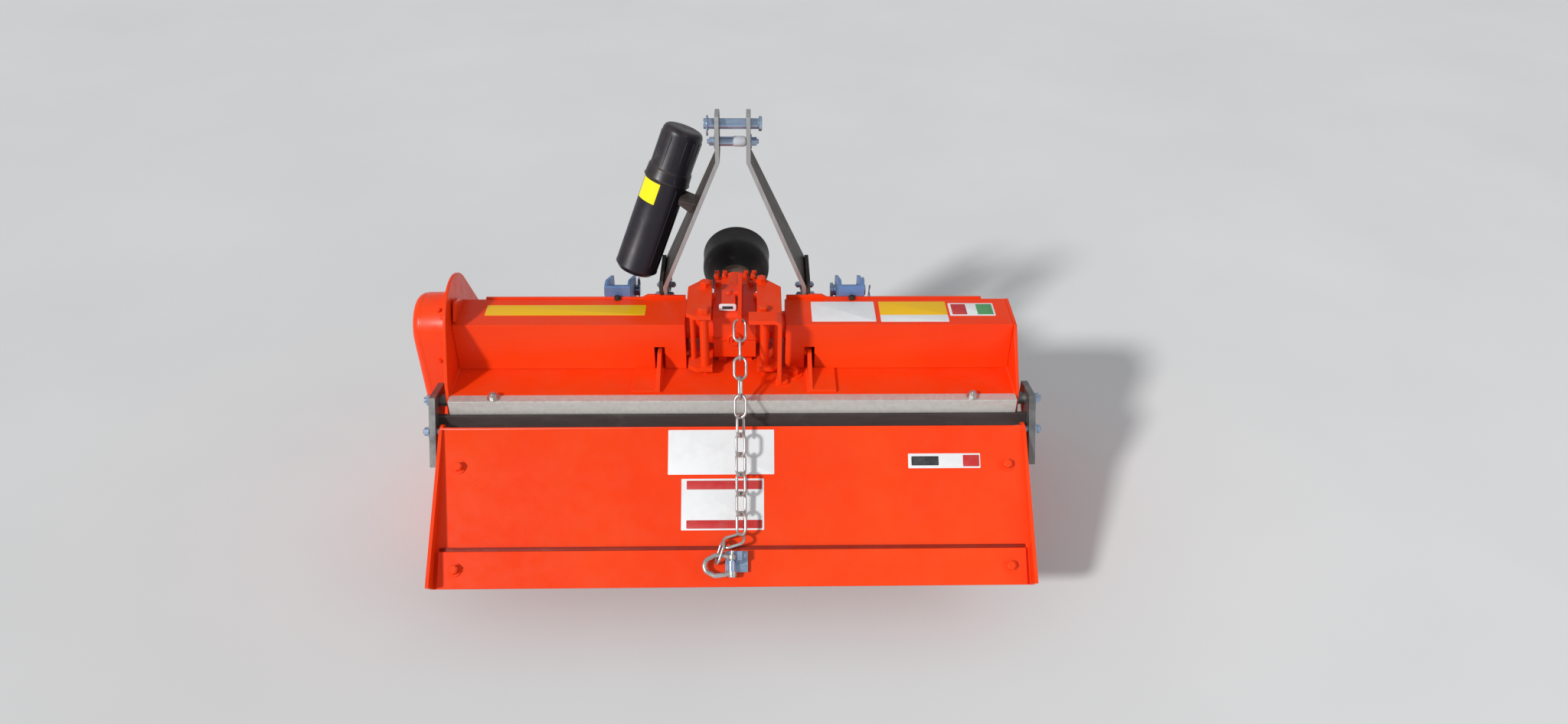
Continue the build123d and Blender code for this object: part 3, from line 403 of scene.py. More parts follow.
for finish, nodes in REPLACED.items():
    for node in nodes:
        dress(node, finish)
for finish, rows in SHEETS.items():
    for node, ease in rows:
        dress(node, finish)
        eased(node, finish, ease)
for node in ("mast_leg_left", "mast_leg_right"):
    eased(node, "mill steel", 0.8, edge_finish="cut steel")


class Pattern:
    """A geometry tree with named sizes: fed a plain mesh, and turned back into a plain mesh."""

    def __init__(self, name, **sizes):
        self.tree = bpy.data.node_groups.new(name, "GeometryNodeTree")
        self.sockets = {}
        face = self.tree.interface
        face.new_socket("Geometry", in_out="INPUT", socket_type="NodeSocketGeometry")
        face.new_socket("Geometry", in_out="OUTPUT", socket_type="NodeSocketGeometry")
        for label, value in sizes.items():
            kind = "NodeSocketInt" if isinstance(value, int) else "NodeSocketFloat"
            made = face.new_socket(label, in_out="INPUT", socket_type=kind)
            made.default_value = value
            self.sockets[label] = made.identifier
        coat = face.new_socket("finish", in_out="INPUT", socket_type="NodeSocketMaterial")
        self.sockets["finish"] = coat.identifier
        self.start = self.tree.nodes.new("NodeGroupInput")

    def size(self, label):
        return self.start.outputs[label]

    def step(self, kind, *sources, settings=(), **inputs):
        """Adds a node: plain sources go to its first sockets, named ones to the sockets of that name."""
        made = self.tree.nodes.new(kind)
        for key, value in dict(settings).items():
            setattr(made, key, value)
        pairs = list(zip(made.inputs, sources))
        pairs += [(made.inputs[key.replace("_", " ")], value) for key, value in inputs.items()]
        for socket, source in pairs:
            if isinstance(source, bpy.types.NodeSocket):
                self.tree.links.new(source, socket)
            elif source is not None:
                socket.default_value = source
        return made.outputs[0]

    def sum(self, operation, first, second):
        return self.step("ShaderNodeMath", first, second, settings={"operation": operation})

    def raised(self, mesh, by):
        """Moves a mesh up its own Z."""
        return self.step("GeometryNodeTransform", mesh, Translation=self.step("ShaderNodeCombineXYZ", Z=by))

    def cylinder(self, vertices, radius, depth):
        return self.step("GeometryNodeMeshCylinder", Vertices=vertices, Radius=radius, Depth=depth)

    def rounded(self, curve, count, radius):
        """Bends a curve's corners to a radius."""
        return self.step(
            "GeometryNodeFilletCurve", curve, settings={"mode": "POLY"},
            Count=count, Radius=radius, Limit_Radius=True,
        )

    def kept(self, attribute):
        """What the seed mesh's points say of themselves."""
        return self.step("GeometryNodeInputNamedAttribute", attribute, settings={"data_type": "FLOAT_VECTOR"})

    def joined(self, *meshes):
        made = self.tree.nodes.new("GeometryNodeJoinGeometry")
        for mesh in reversed(meshes):
            self.tree.links.new(mesh, made.inputs[0])
        return made.outputs[0]

    def spread(self, shape):
        """Sets the shape on every point, turned and sized as the point says."""
        turn = self.step("FunctionNodeEulerToRotation", self.kept("turn"))
        return self.step(
            "GeometryNodeInstanceOnPoints", self.start.outputs[0],
            Instance=shape, Rotation=turn, Scale=self.kept("size"),
        )

    def close(self, shape):
        """Ends the tree in a real, coated mesh."""
        real = self.step("GeometryNodeRealizeInstances", shape)
        coated = self.step("GeometryNodeSetMaterial", real, Material=self.size("finish"))
        end = self.tree.nodes.new("NodeGroupOutput")
        self.tree.links.new(coated, end.inputs[0])

    def grown(self, name, seed_mesh, finish, **sizes):
        """The plain mesh that the tree makes from this one."""
        seed = bpy.data.objects.new(name + "_seed", seed_mesh)
        bpy.context.scene.collection.objects.link(seed)
        growth = seed.modifiers.new("growth", "NODES")
        growth.node_group = self.tree
        growth[self.sockets["finish"]] = FINISHES[finish]
        for label, value in sizes.items():
            growth[self.sockets[label]] = value
        seed.update_tag()
        bpy.context.view_layer.update()
        evaluated = seed.evaluated_get(bpy.context.evaluated_depsgraph_get())
        made = bpy.data.meshes.new_from_object(evaluated)
        seed.modifiers.remove(growth)
        bpy.data.objects.remove(seed)
        for spare in ("turn", "size"):
            if spare in made.attributes:
                made.attributes.remove(made.attributes[spare])
        made.name = name
        return made


def points(rows):
    """A mesh of loose points from rows of place, turn and size."""
    mesh = bpy.data.meshes.new("points")
    mesh.from_pydata([row[0] for row in rows], [], [])
    turns = mesh.attributes.new("turn", "FLOAT_VECTOR", "POINT")
    sizes = mesh.attributes.new("size", "FLOAT_VECTOR", "POINT")
    for number, (_, turn, size) in enumerate(rows):
        turns.data[number].vector = tuple(turn.to_euler())
        sizes.data[number].vector = (size,) * 3 if isinstance(size, float) else size
    return mesh


def aimed(way, roll=0.0):
    """The turn that stands a shape's Z along a direction."""
    return Vector(way).to_track_quat("Z", "Y").to_matrix() @ Matrix.Rotation(math.radians(roll), 3, "Z")


# Hexagon bolt, drawn one unit across its flats: washer, head, the turned face over it and the end of a stud
HEX_CORNER = 0.577
bolt = Pattern("hexagon bolt", head=0.62, washer=0.92, shim=0.12, stud=0.0, stud_radius=0.30)
head, washer, shim, stud = (bolt.size(label) for label in ("head", "washer", "shim", "stud"))
over_head = bolt.sum("ADD", shim, head)
turned_face = bolt.step("GeometryNodeMeshCone", Vertices=24, Radius_Top=0.40, Radius_Bottom=0.50, Depth=0.07)
bolt.close(bolt.spread(bolt.joined(
    bolt.raised(bolt.cylinder(28, washer, shim), bolt.sum("MULTIPLY", shim, 0.5)),
    bolt.raised(bolt.cylinder(6, HEX_CORNER, head), bolt.sum("ADD", shim, bolt.sum("MULTIPLY", head, 0.5))),
    bolt.raised(turned_face, over_head),
    bolt.raised(
        bolt.cylinder(16, bolt.size("stud_radius"), stud),
        bolt.sum("ADD", over_head, bolt.sum("MULTIPLY", stud, 0.45)),
    ),
)))

# Chain link: a round wire bent into a long ring, its long way on X
LINK_LONG = 0.0458
link = Pattern("chain link", long=LINK_LONG, wide=0.027, wire=0.0027)
wire_across = link.sum("MULTIPLY", link.size("wire"), 2.0)
run_long, run_wide = (link.sum("SUBTRACT", link.size(label), wire_across) for label in ("long", "wide"))
oblong = link.step("GeometryNodeCurvePrimitiveQuadrilateral", run_long, run_wide)
ring = link.rounded(oblong, 8, link.sum("MULTIPLY", run_wide, 0.499))
section = link.step("GeometryNodeCurvePrimitiveCircle", Resolution=12, Radius=link.size("wire"))
link.close(link.spread(link.step("GeometryNodeCurveToMesh", ring, section)))

# Weld bead: flattened ripples laid one over the next along a seam
bead = Pattern("weld bead", ripple=1.0)
ripple = bead.step("GeometryNodeMeshUVSphere", Segments=8, Rings=6, Radius=bead.size("ripple"))
bead.close(bead.spread(ripple))

# Bent rod: a round section carried along a path, with its corners bent to a radius
rod = Pattern("bent rod", thick=0.006, bend=0.01, corner_steps=5, facets=12)
route = rod.step("GeometryNodeMeshToCurve", rod.start.outputs[0])
path = rod.rounded(route, rod.size("corner_steps"), rod.size("bend"))
rod_radius = rod.sum("MULTIPLY", rod.size("thick"), 0.5)
section = rod.step("GeometryNodeCurvePrimitiveCircle", Resolution=rod.size("facets"), Radius=rod_radius)
rod.close(rod.step("GeometryNodeCurveToMesh", path, section, Fill_Caps=True))

# Moulded rib: a long half-round bar, one unit long on Z
rib = Pattern("moulded rib", half_width=1.0)
rib.close(rib.spread(rib.cylinder(10, rib.size("half_width"), 1.0)))

LEFT, RIGHT = Vector((-1, 0, 0)), Vector((1, 0, 0))
BACK, FORE, TOP = Vector((0, -1, 0)), Vector((0, 1, 0)), Vector((0, 0, 1))
SIDES = (("left", -1), ("right", 1))

# The rear board falls away from level and has a crease, each line of it given as down and off
FALL = math.radians(38.9)
BOARD_OUT = Vector((0, -math.sin(FALL), math.cos(FALL)))
BOARD_DOWN = Vector((0, -math.cos(FALL), -math.sin(FALL)))
BOARD_UP = -BOARD_DOWN
BOARD_HEAD, BOARD_CREASE, BOARD_EDGE = (-4, 14), (86, 8), (285.2, 0)


def on_board(across, down, off):
    """A place on the rear board: down it from the hinge, and off its straight line."""
    return spot(across, HINGE_FORE, HINGE_UP) + (BOARD_DOWN * down + BOARD_OUT * off) / 1000


def bolts(name, rows, finish, body, **sizes):
    """Hexagon bolts from rows of place, the way each looks, its size across the flats and its roll."""
    seats = points([(place, aimed(way, roll), flats / 1000) for place, way, flats, roll in rows])
    return put(name, bolt.grown(name, seats, finish, **sizes), finish, body)


def bent_rods(name, paths, finish, body, thick, bend=10.0, closed=False, stands_for=(), **sizes):
    """Round rods bent along rows of places."""
    corners, runs = [], []
    for places in paths:
        start = len(corners)
        corners += places
        runs += [(start + number, start + number + 1) for number in range(len(places) - 1)]
        if closed:
            runs.append((len(corners) - 1, start))
    route = bpy.data.meshes.new(name)
    route.from_pydata(corners, runs, [])
    made = rod.grown(name, route, finish, thick=thick / 1000, bend=bend / 1000, **sizes)
    return put(name, made, finish, body, stands_for=stands_for)


def welds(name, seams, finish, body):
    """Weld beads along rows of places, each row with the bead's half-width in millimetres."""
    pitch, flat, swell_share, swell_step = 1.1, 0.0008, 0.1, 2.3
    rows = []
    for places, half_width in seams:
        for start, end in zip(places, places[1:]):
            way = end - start
            count = max(2, round(way.length * 1000 / (half_width * pitch)))
            turn = aimed(way)
            for number in range(count + 1):
                swell = half_width / 1000 * (1 + swell_share * math.sin(number * swell_step))
                rows.append((start + way * number / count, turn, (swell, swell, half_width * flat)))
    return put(name, bead.grown(name, points(rows), finish), finish, body)


def skin(rings, along=False):
    """A mesh stretched over rings of places, capped at its ends or, with along, joined end to end."""
    bm = bmesh.new()
    rows = [[bm.verts.new(place) for place in ring] for ring in rings]
    count = len(rows[0])
    for first, second in zip(rows, rows[1:] + ([rows[0]] if along else [])):
        for number in range(count):
            after = (number + 1) % count
            bm.faces.new((first[number], first[after], second[after], second[number]))
    if not along:
        bm.faces.new(list(reversed(rows[0])))
        bm.faces.new(rows[-1])
    bmesh.ops.recalc_face_normals(bm, faces=bm.faces)
    return plain(bm, "skin")


def turned(profile, foot, way, parts=72, along=False):
    """A lathe-turned mesh from rows of distance along the axis and radius, in millimetres."""
    turn = aimed(way)
    rings = []
    for forth, radius in profile:
        ring = []
        for number in range(parts):
            angle = math.tau * number / parts
            out = Vector((radius * math.cos(angle), radius * math.sin(angle), forth))
            ring.append(foot + turn @ out / 1000)
        rings.append(ring)
    return skin(rings, along)


def plate_of(outline, depth, ease=0.6):
    """A plate from a closed row of places and the vector of its thickness, its edges eased."""
    bm = bmesh.new()
    low = [bm.verts.new(place) for place in outline]
    high = [bm.verts.new(place + depth) for place in outline]
    bm.faces.new(list(reversed(low)))
    bm.faces.new(high)
    for number in range(len(low)):
        after = (number + 1) % len(low)
        bm.faces.new((low[number], low[after], high[after], high[number]))
    bmesh.ops.recalc_face_normals(bm, faces=bm.faces)
    bmesh.ops.bevel(bm, geom=bm.edges[:], offset=ease / 1000, segments=2, affect="EDGES", profile=0.6)
    return plain(bm, "plate")


def film(name, centre, right, up, wide, high, finish, body, corner=1.4, proud=0.5, lift=0.0):
    """A thin blank panel with rounded corners, stuck on a face."""
    right, up = right.normalized(), up.normalized()
    out = right.cross(up)
    outline = []
    for turn, side_x, side_y in ((0, 1, 1), (90, -1, 1), (180, -1, -1), (270, 1, -1)):
        for step in range(5):
            angle = math.radians(turn + step * 22.5)
            across = side_x * (wide / 2 - corner) + corner * math.cos(angle)
            raised = side_y * (high / 2 - corner) + corner * math.sin(angle)
            outline.append(centre + (right * across + up * raised) / 1000 + out * lift / 1000)
    return put(name, plate_of(outline, out * proud / 1000, 0.12), finish, body)


# Chain case: a pressed drop shape with its flange, its body and a rounded face
CASE_TOP, CASE_FOOT = ((-10, DRIVE_UP), 64), ((0, ROTOR_UP), 66)
CASE_FACE, CASE_DOME, CASE_LEAN, CASE_STEP = -582, 18, 16, -1.2


def case_ring(across, grow, count=112):
    """The case's outline at a place across the machine, set out by grow."""
    ring = []
    for number in range(count):
        angle = math.tau * number / count
        out = (math.cos(angle), math.sin(angle))
        centre, radius = max(
            (CASE_TOP, CASE_FOOT), key=lambda end: end[0][0] * out[0] + end[0][1] * out[1] + end[1]
        )
        reach = radius + grow
        ring.append(spot(across, centre[0] + reach * out[0], centre[1] + reach * out[1]))
    return ring


case_rows = [
    (-531, 9), (-536.2, 9), (CASE_FLANGE, 8.2), (CASE_FLANGE, 2.6), (-537.8, 0.8), (-539.5, 0),
    (-580, -0.6), (-581, CASE_STEP), (CASE_FACE, CASE_STEP),
]
for turn in range(10, 91, 10):
    turn = math.radians(turn)
    case_rows.append((CASE_FACE - CASE_DOME * math.sin(turn), CASE_STEP - CASE_LEAN * (1 - math.cos(turn))))
case_rows += [(-600, -34), (-598.6, -37), (-598.4, -40)]
case = skin([case_ring(across, grow) for across, grow in case_rows])
put("chain_case_pressed", case, "sheet paint", "frame", stands_for=("chain_case", "chain_case_cover"))
flange_bolts = []
for (centre, radius), turns in ((CASE_TOP, (8, 50, 92, 134, 176)), (CASE_FOOT, (188, 226, 270, 314, 352))):
    reach = radius + 4.5
    for turn in turns:
        out = (math.cos(math.radians(turn)), math.sin(math.radians(turn)))
        place = spot(CASE_FLANGE, centre[0] + reach * out[0], centre[1] + reach * out[1])
        flange_bolts.append((place, LEFT, 8.0, turn))
flange_bolts += [(spot(CASE_FLANGE, -5 + side * 69.5, 300), LEFT, 8.0, 0) for side in (-1, 1)]
bolts("case_flange_bolts", flange_bolts, "sheet paint", "frame", washer=0.6, head=0.55)
bolts("case_wall_bolts", [
    (spot(-549, -43.4, 479.5), Vector((0, -0.53, 0.85)), 7.0, 8), (spot(-556, -72, 386), BACK, 7.0, 30),
], "sheet paint", "frame", washer=0.6, head=0.4)
bolts("case_plugs", [
    (spot(-598.6, -8, 330), LEFT, 17.0, 15), (spot(-598.6, -2, 132), LEFT, 17.0, 40),
], "sheet paint", "frame", washer=0.7, head=0.4)

# Bolts of the clamps, hood, board, skids and bearing
bolts("clamp_bolts", [
    (spot(-56, -81, CLAMP_TOP), TOP, 18.0, 12), (spot(-56, 10, CLAMP_TOP), TOP, 18.0, 40),
    (spot(53.5, -76, CLAMP_TOP), TOP, 16.0, 5), (spot(51, 27, CLAMP_TOP), TOP, 16.0, 25),
], "cast paint", "frame", head=0.52, washer=0.70, shim=0.08)
bolts("ring_bolts", [
    (spot(across, NOSE_FORE, 462), BACK, 8.5, 10 * across) for across in (-38, -22, 19, 35)
], "cast paint", "frame", head=1.25, washer=0.55)
bolts("hood_bolt", [
    (spot(112.4, -86.9, HOOD_TOP), TOP, 16.0, 20),
], "sheet paint", "frame", washer=1.0, stud=0.35)
bolts("board_bolts", [
    (on_board(-500.5, 68, 9.2), BOARD_OUT, 15.0, 11), (on_board(500.5, 68, 9.2), BOARD_OUT, 15.0, 34),
    (on_board(-496, 252, 9.3), BOARD_OUT, 15.0, 20), (on_board(496, 252, 9.3), BOARD_OUT, 15.0, 47),
], "sheet paint", "board", washer=0.85)
bolts("bar_bolts", [
    (spot(side * 443, -157, HOOD_TOP), TOP, 13.0, 22 * side) for side in (-1, 1)
], "chain steel", "frame", stud=0.2)
bolts("skid_bolts", [
    (spot(side * 537, fore, 82), RIGHT * side, 17.0, fore) for side in (-1, 1) for fore in (-112, 112)
], "sheet paint", "frame")
bolts("bearing_bolts", [
    (spot(543, fore, ROTOR_UP + rise), RIGHT, 16.0, fore + rise) for fore in (-44, 44) for rise in (-44, 44)
], "bright zinc", "frame", stud=0.3)
bolts("arm_bolts", [
    (spot(side * ARM_OUT, -135, 340), RIGHT * side, 19.0, 25) for side in (-1, 1)
], "bright zinc", "frame", stud=0.3)
bolts("hinge_nuts", [
    (spot(side * ARM_OUT, HINGE_FORE, HINGE_UP), RIGHT * side, 14.0, 5) for side in (-1, 1)
], "bright zinc", "frame", stud=0.2)
SHOE_SEATS = ((62, 446), (112, 438))
bolts("shoe_bolts", [
    (spot(side * 146, fore, up), RIGHT * side, 11.0, fore) for side in (-1, 1) for fore, up in SHOE_SEATS
] + [
    (spot(side * 130, fore, up), LEFT * side, 11.0, up) for side in (-1, 1) for fore, up in SHOE_SEATS
], "bright zinc", "frame", stud=0.25)
bolts("hitch_web_bolts", [
    (spot(side * HITCH_OUT, 27, 462), BACK, 9.0, 14) for side in (-1, 1)
], "mill steel", "frame", washer=0.7)
bolts("fin_bolt", [(spot(7, -12, 497), LEFT, 9.0, 14)], "cast paint", "frame", stud=0.2)

# Blade bolts, two through each blade and its flange
FLANGES, FIRST_FLANGE, FLANGE_PITCH, BLADE_SEAT, BLADE_LAG = 6, 75, 175, 74, 15
blade_bolts = []
for number in range(FLANGES):
    flange_at = -WORK_HALF + FIRST_FLANGE + number * FLANGE_PITCH
    for place in range(4):
        side = 1 if place % 2 else -1
        turn = math.radians(place * 90 + number * BLADE_LAG)
        out, over = (math.cos(turn), math.sin(turn)), (-math.sin(turn), math.cos(turn))
        for shift in (-11, 11):
            seat = (BLADE_SEAT * out[0] + shift * over[0], ROTOR_UP + BLADE_SEAT * out[1] + shift * over[1])
            blade_bolts.append((spot(flange_at + side * 12, *seat), RIGHT * side, 13.0, 20 * place + shift))
            blade_bolts.append((spot(flange_at - side * 4, *seat), LEFT * side, 13.0, 9 * place))
bolts("blade_bolts", blade_bolts, "soil steel", "rotor", stud=0.25)

# Comb: round tines that follow the rotor's swing from TINE_END up, then run straight to their square bar
SWING, HEAD_FORE, HEAD_UP, TINE_END, TINE_PITCH, TINES = 188.0, -149.5, 152.5, 234, 40, 25
head_reach = math.hypot(HEAD_FORE, HEAD_UP)
tine_start = math.degrees(math.atan2(HEAD_UP, HEAD_FORE)) + math.degrees(math.acos(SWING / head_reach))
stations = [(tine_start, math.sqrt(head_reach ** 2 - SWING ** 2))]
stations += [(tine_start + (TINE_END - tine_start) * step / 12, 0) for step in range(13)]
tine_paths = []
for number in range(TINES):
    across = (number - TINES // 2) * TINE_PITCH
    tine = []
    for turn, along in stations:
        turn = math.radians(turn)
        fore = SWING * math.cos(turn) + along * math.sin(turn)
        tine.append(spot(across, fore, ROTOR_UP + SWING * math.sin(turn) - along * math.cos(turn)))
    tine_paths.append(tine)
bent_rods(
    "comb_tines", tine_paths, "black enamel", "frame", 12, bend=30, corner_steps=2, stands_for=("comb",)
)
comb_bar = [
    spot(-WORK_HALF, fore, up) for fore, up in ((-164.5, 322), (-134.5, 322), (-134.5, 344), (-164.5, 344))
]
put("comb_bar", plate_of(comb_bar, Vector((1.05, 0, 0)), 1.2), "black enamel", "frame")

# Chain: long links of round wire, turned a quarter one after another and then twisted loose
LINKS, FIRST_GAP = 11, 0.0016
hook, rest_at = spot(10.5, -80, 487), on_board(13, 199, 30)
run = (rest_at - hook).normalized()
lift_way = run.cross(RIGHT).normalized()
link_pitch = ((rest_at - hook).length - FIRST_GAP - LINK_LONG) / (LINKS - 1)
link_rows = []
for number in range(LINKS):
    centre = hook + run * (FIRST_GAP + LINK_LONG / 2 + number * link_pitch)
    loose = min(45, max(0, number - 2) * 11)
    roll = math.radians((90 if number % 2 else 0) + loose)
    wide_way = RIGHT * math.cos(roll) + lift_way * math.sin(roll)
    link_rows.append((centre, Matrix((run, wide_way, run.cross(wide_way))).transposed(), 1.0))
for centre, long_way, wide_way in (
    (
        on_board(-1, 206, 25), on_board(19, 200, 27) - on_board(-20, 211, 22),
        BOARD_DOWN * 0.9 + BOARD_OUT * 0.45,
    ),
    (on_board(-25, 226, 21), on_board(-19, 207, 24) - on_board(-31, 244, 19), RIGHT * 0.35 + BOARD_OUT),
):
    long_way = long_way.normalized()
    wide_way = (wide_way - long_way * wide_way.dot(long_way)).normalized()
    link_rows.append((centre, Matrix((long_way, wide_way, long_way.cross(wide_way))).transposed(), 1.0))
chain = put("chain_links", link.grown("chain_links", points(link_rows), "chain steel"), "chain steel", None)
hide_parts("chain")
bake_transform(chain)

# Shackle: a pear-shaped bow of round bar, its eyes and the pin through them
SHACKLE_OFF = 24
bow = [
    on_board(across, down, SHACKLE_OFF) for across, down in (
        (-4, 236), (-16, 232), (-34, 231), (-50, 240), (-53, 249), (-50, 259), (-34, 267), (-16, 265),
        (-4, 262),
    )
]
bent_rods("shackle_bow", [bow], "chain steel", "board", 8.5, bend=9, stands_for=("shackle",))
eye = [(-4.5, 4.3), (-4.5, 6.8), (-3.2, 8), (3.2, 8), (4.5, 6.8), (4.5, 4.3)]
for number, down in enumerate((235, 263)):
    mesh = turned(eye, on_board(-3, down, SHACKLE_OFF), BOARD_DOWN, 28)
    put(f"shackle_eye_{number}", mesh, "chain steel", "board")
pin = [(-28, 2), (-27, 4), (14, 4), (14.2, 7), (19, 7), (20, 6)]
put("shackle_pin", turned(pin, on_board(-3, 250.5, SHACKLE_OFF), BOARD_DOWN, 24), "chain steel", "board")

# Document tube: a plain barrel, a double collar and a ribbed cap
TUBE_FOOT = spot(-196, 90, 486)
TUBE_WAY = Vector((105, 60, 271)).normalized()
barrel = [
    (0, 24), (0, 31.5), (0.8, 33.5), (7.6, 39.8), (8.6, 41), (9.6, 41.6), (11.4, 41.6), (12.6, 41),
    (192, 41), (192, 38),
]
put(
    "tube_barrel", turned(barrel, TUBE_FOOT, TUBE_WAY), "tube plastic", "frame",
    stands_for=("document_tube",),
)
cap = [
    (192, 38), (192, 43.6), (192.6, 44.4), (194.4, 44.6), (195.6, 43.9), (197, 43.3), (213, 42.4),
    (215.4, 41.8), (216.8, 40.6), (218.6, 40), (284, 38.9), (289, 38.2), (292.8, 36.4), (295.4, 33.6),
    (296.6, 30), (296.8, 24), (296.4, 6), (296, 2),
]
put(
    "tube_cap_moulded", turned(cap, TUBE_FOOT, TUBE_WAY), "tube plastic", "frame", stands_for=("tube_cap",)
)
tube_turn = aimed(TUBE_WAY)
tube_back = (BACK - TUBE_WAY * BACK.dot(TUBE_WAY)).normalized()
tube_side = TUBE_WAY.cross(tube_back)


def on_tube(along, turn, reach):
    """A place off the tube's axis: turned to the right from the side that looks back."""
    turn = math.radians(turn)
    out = tube_back * math.cos(turn) + tube_side * math.sin(turn)
    return TUBE_FOOT + (TUBE_WAY * along + out * reach) / 1000


grips = [(on_tube(250, step * 22.5 - 8, 38.6), tube_turn, (0.0014, 0.0014, 0.062)) for step in range(16)]
put("tube_cap_grips", rib.grown("tube_cap_grips", points(grips), "tube plastic"), "tube plastic", "frame")
lines = [(on_tube(106, turn, 40.9), tube_turn, (0.0009, 0.0009, 0.160)) for turn in (32, 54, 212, 234)]
put("tube_ribs", rib.grown("tube_ribs", points(lines), "tube plastic"), "tube plastic", "frame")
label_rings = [
    [on_tube(along, turn, reach) for along, reach in ((148, 40.9), (189, 40.9), (189, 41.5), (148, 41.5))]
    for turn in range(-80, -15, 4)
]
put("tube_label", skin(label_rings), "lemon film", "frame")

# The tube's stay: a flat shelf to the left leg, and the web under it
shelf = [spot(-104, 82, 638), spot(-98, 128, 638), spot(-70, 104, 638), spot(-72, 66, 638)]
put("tube_stay", plate_of(shelf, TOP * 0.004), "black enamel", "frame", stands_for=("tube_bracket",))
web = [spot(-104, 92, 639), spot(-72, 80, 639), spot(-80, 82, 612), spot(-106, 92, 628)]
put("tube_stay_web", plate_of(web, FORE * 0.004), "black enamel", "frame")

# Guard bell: a ribbed neck that flares to a wide mouth with a rolled lip
BELL_FOOT = spot(0, BELL_FORE, DRIVE_UP)
neck = [(0, 33), (0, 36.5)]
for ridge in range(5):
    start = 2 + ridge * 6
    neck += [(start, 35.5), (start + 1.2, 37.8), (start + 3.4, 37.8), (start + 4.6, 35.5)]
neck += [(34, 36), (34, 33)]
put(
    "bell_neck", turned(neck, BELL_FOOT, FORE, 88, along=True), "dusty neck", "frame",
    stands_for=("guard_bell",),
)
bell = [
    (34, 33), (34, 36), (42, 40.5), (58, 55), (70, 65.4), (76, 67.6), (84, 68), (127, 68), (129, 68.9),
    (131, 69), (132, 67.8), (132, 66), (130.5, 65), (84, 65), (76, 64.6), (70, 62.2), (58, 52), (42, 37.5),
]
put(
    "bell_moulded", turned(bell, BELL_FOOT, FORE, 88, along=True), "guard plastic", "frame",
    stands_for=("guard_bell",),
)

# Guard ring: a turned flange between the nose and the bell, with the four lugs its bolts go through
flange = [(0, 33), (0, 39.7), (0.8, 40.5), (5.2, 40.5), (6, 39.7), (6, 33)]
put(
    "guard_flange", turned(flange, spot(0, NOSE_FORE, DRIVE_UP), FORE, along=True), "cast paint", "frame",
    stands_for=("guard_ring",),
)
for number, (across, foot) in enumerate(((-37, 439), (-21, 455), (21, 455), (37, 439))):
    corners = ((across - 4.5, foot), (across + 4.5, foot), (across + 4.5, 468), (across - 4.5, 468))
    lug = [spot(x, NOSE_FORE, up) for x, up in corners]
    put(f"guard_lug_{number}", plate_of(lug, FORE * 0.006), "cast paint", "frame")

# Ears cast on the gearbox's walls, under the clamps
for word, side in SIDES:
    ear = [spot(side * across, -6, up) for across, up in ((36, 450), (52, 450), (52, 489), (36, 489))]
    put(f"gearbox_ear_{word}", plate_of(ear, FORE * 0.008), "cast paint", "frame")

# Splined stub: six keys round a core, with the groove that holds a coupling
KEYS, CORE, KEY_TOP, GROOVE = 6, 14.2, 17.5, 14.4
spline_rows = [
    (-28, 15.5, 15.5), (-0.5, 15.5, 15.5), (0, 15.5, KEY_TOP), (50, CORE, KEY_TOP), (51, CORE, GROOVE),
    (58, CORE, GROOVE), (59, CORE, KEY_TOP), (72.5, CORE, KEY_TOP), (75, 13.4, 15.6),
]
spline_rings = []
for along, core, key in spline_rows:
    ring = []
    for tooth in range(KEYS):
        for lean, radius in ((-30, core), (-17, core), (-14.5, key), (0, key), (14.5, key), (17, core)):
            angle = math.radians(tooth * 60 + lean)
            across, up = radius * math.sin(angle), DRIVE_UP + radius * math.cos(angle)
            ring.append(spot(across, NOSE_FORE + along, up))
    spline_rings.append(ring)
put("splined_stub", skin(spline_rings), "shaft steel", "input", stands_for=("input_shaft",))

# Level plug's raised ring, and the breather on the gearbox
level_ring = [(0, 8), (0, 15.8), (2.4, 15.4), (5.2, 13.8), (7, 12.0), (7, 10.8), (5.6, 9.4)]
level_ring = turned(level_ring, spot(0, -57.8, DRIVE_UP), BACK, 40, along=True)
put("level_ring", level_ring, "cast paint", "frame")
breather = [(0, 6.4), (2, 6.4), (3, 5.6), (4, 2)]
put("breather", turned(breather, spot(-11, -2, 491), TOP, 28), "cast paint", "frame")
bolts("gearbox_cover_bolts", [
    (spot(across, 46, GEARBOX_TOP), TOP, 10.0, across + 46) for across in (-32, 32)
], "cast paint", "frame", washer=0.6)

# Mast: spacer bolt, top pin with its clip, and a wire ring on the right hitch bracket
spacer = [(-42, 6), (-41, 8.4), (-1.5, 8.5), (-1, 7.4), (0, 7.4)]
put(
    "spacer_bolt", turned(spacer, spot(10, YOKE_FORE, SPACER_UP), RIGHT, 32), "bright zinc", "frame",
    stands_for=("mast_spacer",),
)
sleeve = [(-10, 6.5), (-9.4, 8.4), (-8, 9.4), (9, 9.4), (12.4, 8), (13.6, 5)]
put("spacer_sleeve", turned(sleeve, spot(10.5, YOKE_FORE, SPACER_UP), RIGHT, 32), "pale sleeve", "frame")
bolts("mast_bolts", [
    (spot(-32, YOKE_FORE, SPACER_UP), LEFT, 14.0, 10), (spot(32, YOKE_FORE, SPACER_UP), RIGHT, 14.0, 24),
], "bright zinc", "frame", stud=0.3)
pin_head = [(0, 9), (0, 12.6), (1, 13.4), (5, 13.4), (6, 12.4), (6.4, 8)]
put("top_pin_head", turned(pin_head, spot(46, YOKE_FORE, TOP_PIN_UP), RIGHT, 36), "bright zinc", "frame")
top_clip = [
    spot(-45, fore, up) for fore, up in (
        (YOKE_FORE, 791), (YOKE_FORE, 818), (56, 823), (40, 817), (36, TOP_PIN_UP), (42, 792), (54, 788.5),
    )
]
bent_rods("top_pin_clip", [top_clip], "bright zinc", "frame", 3.4, bend=7)
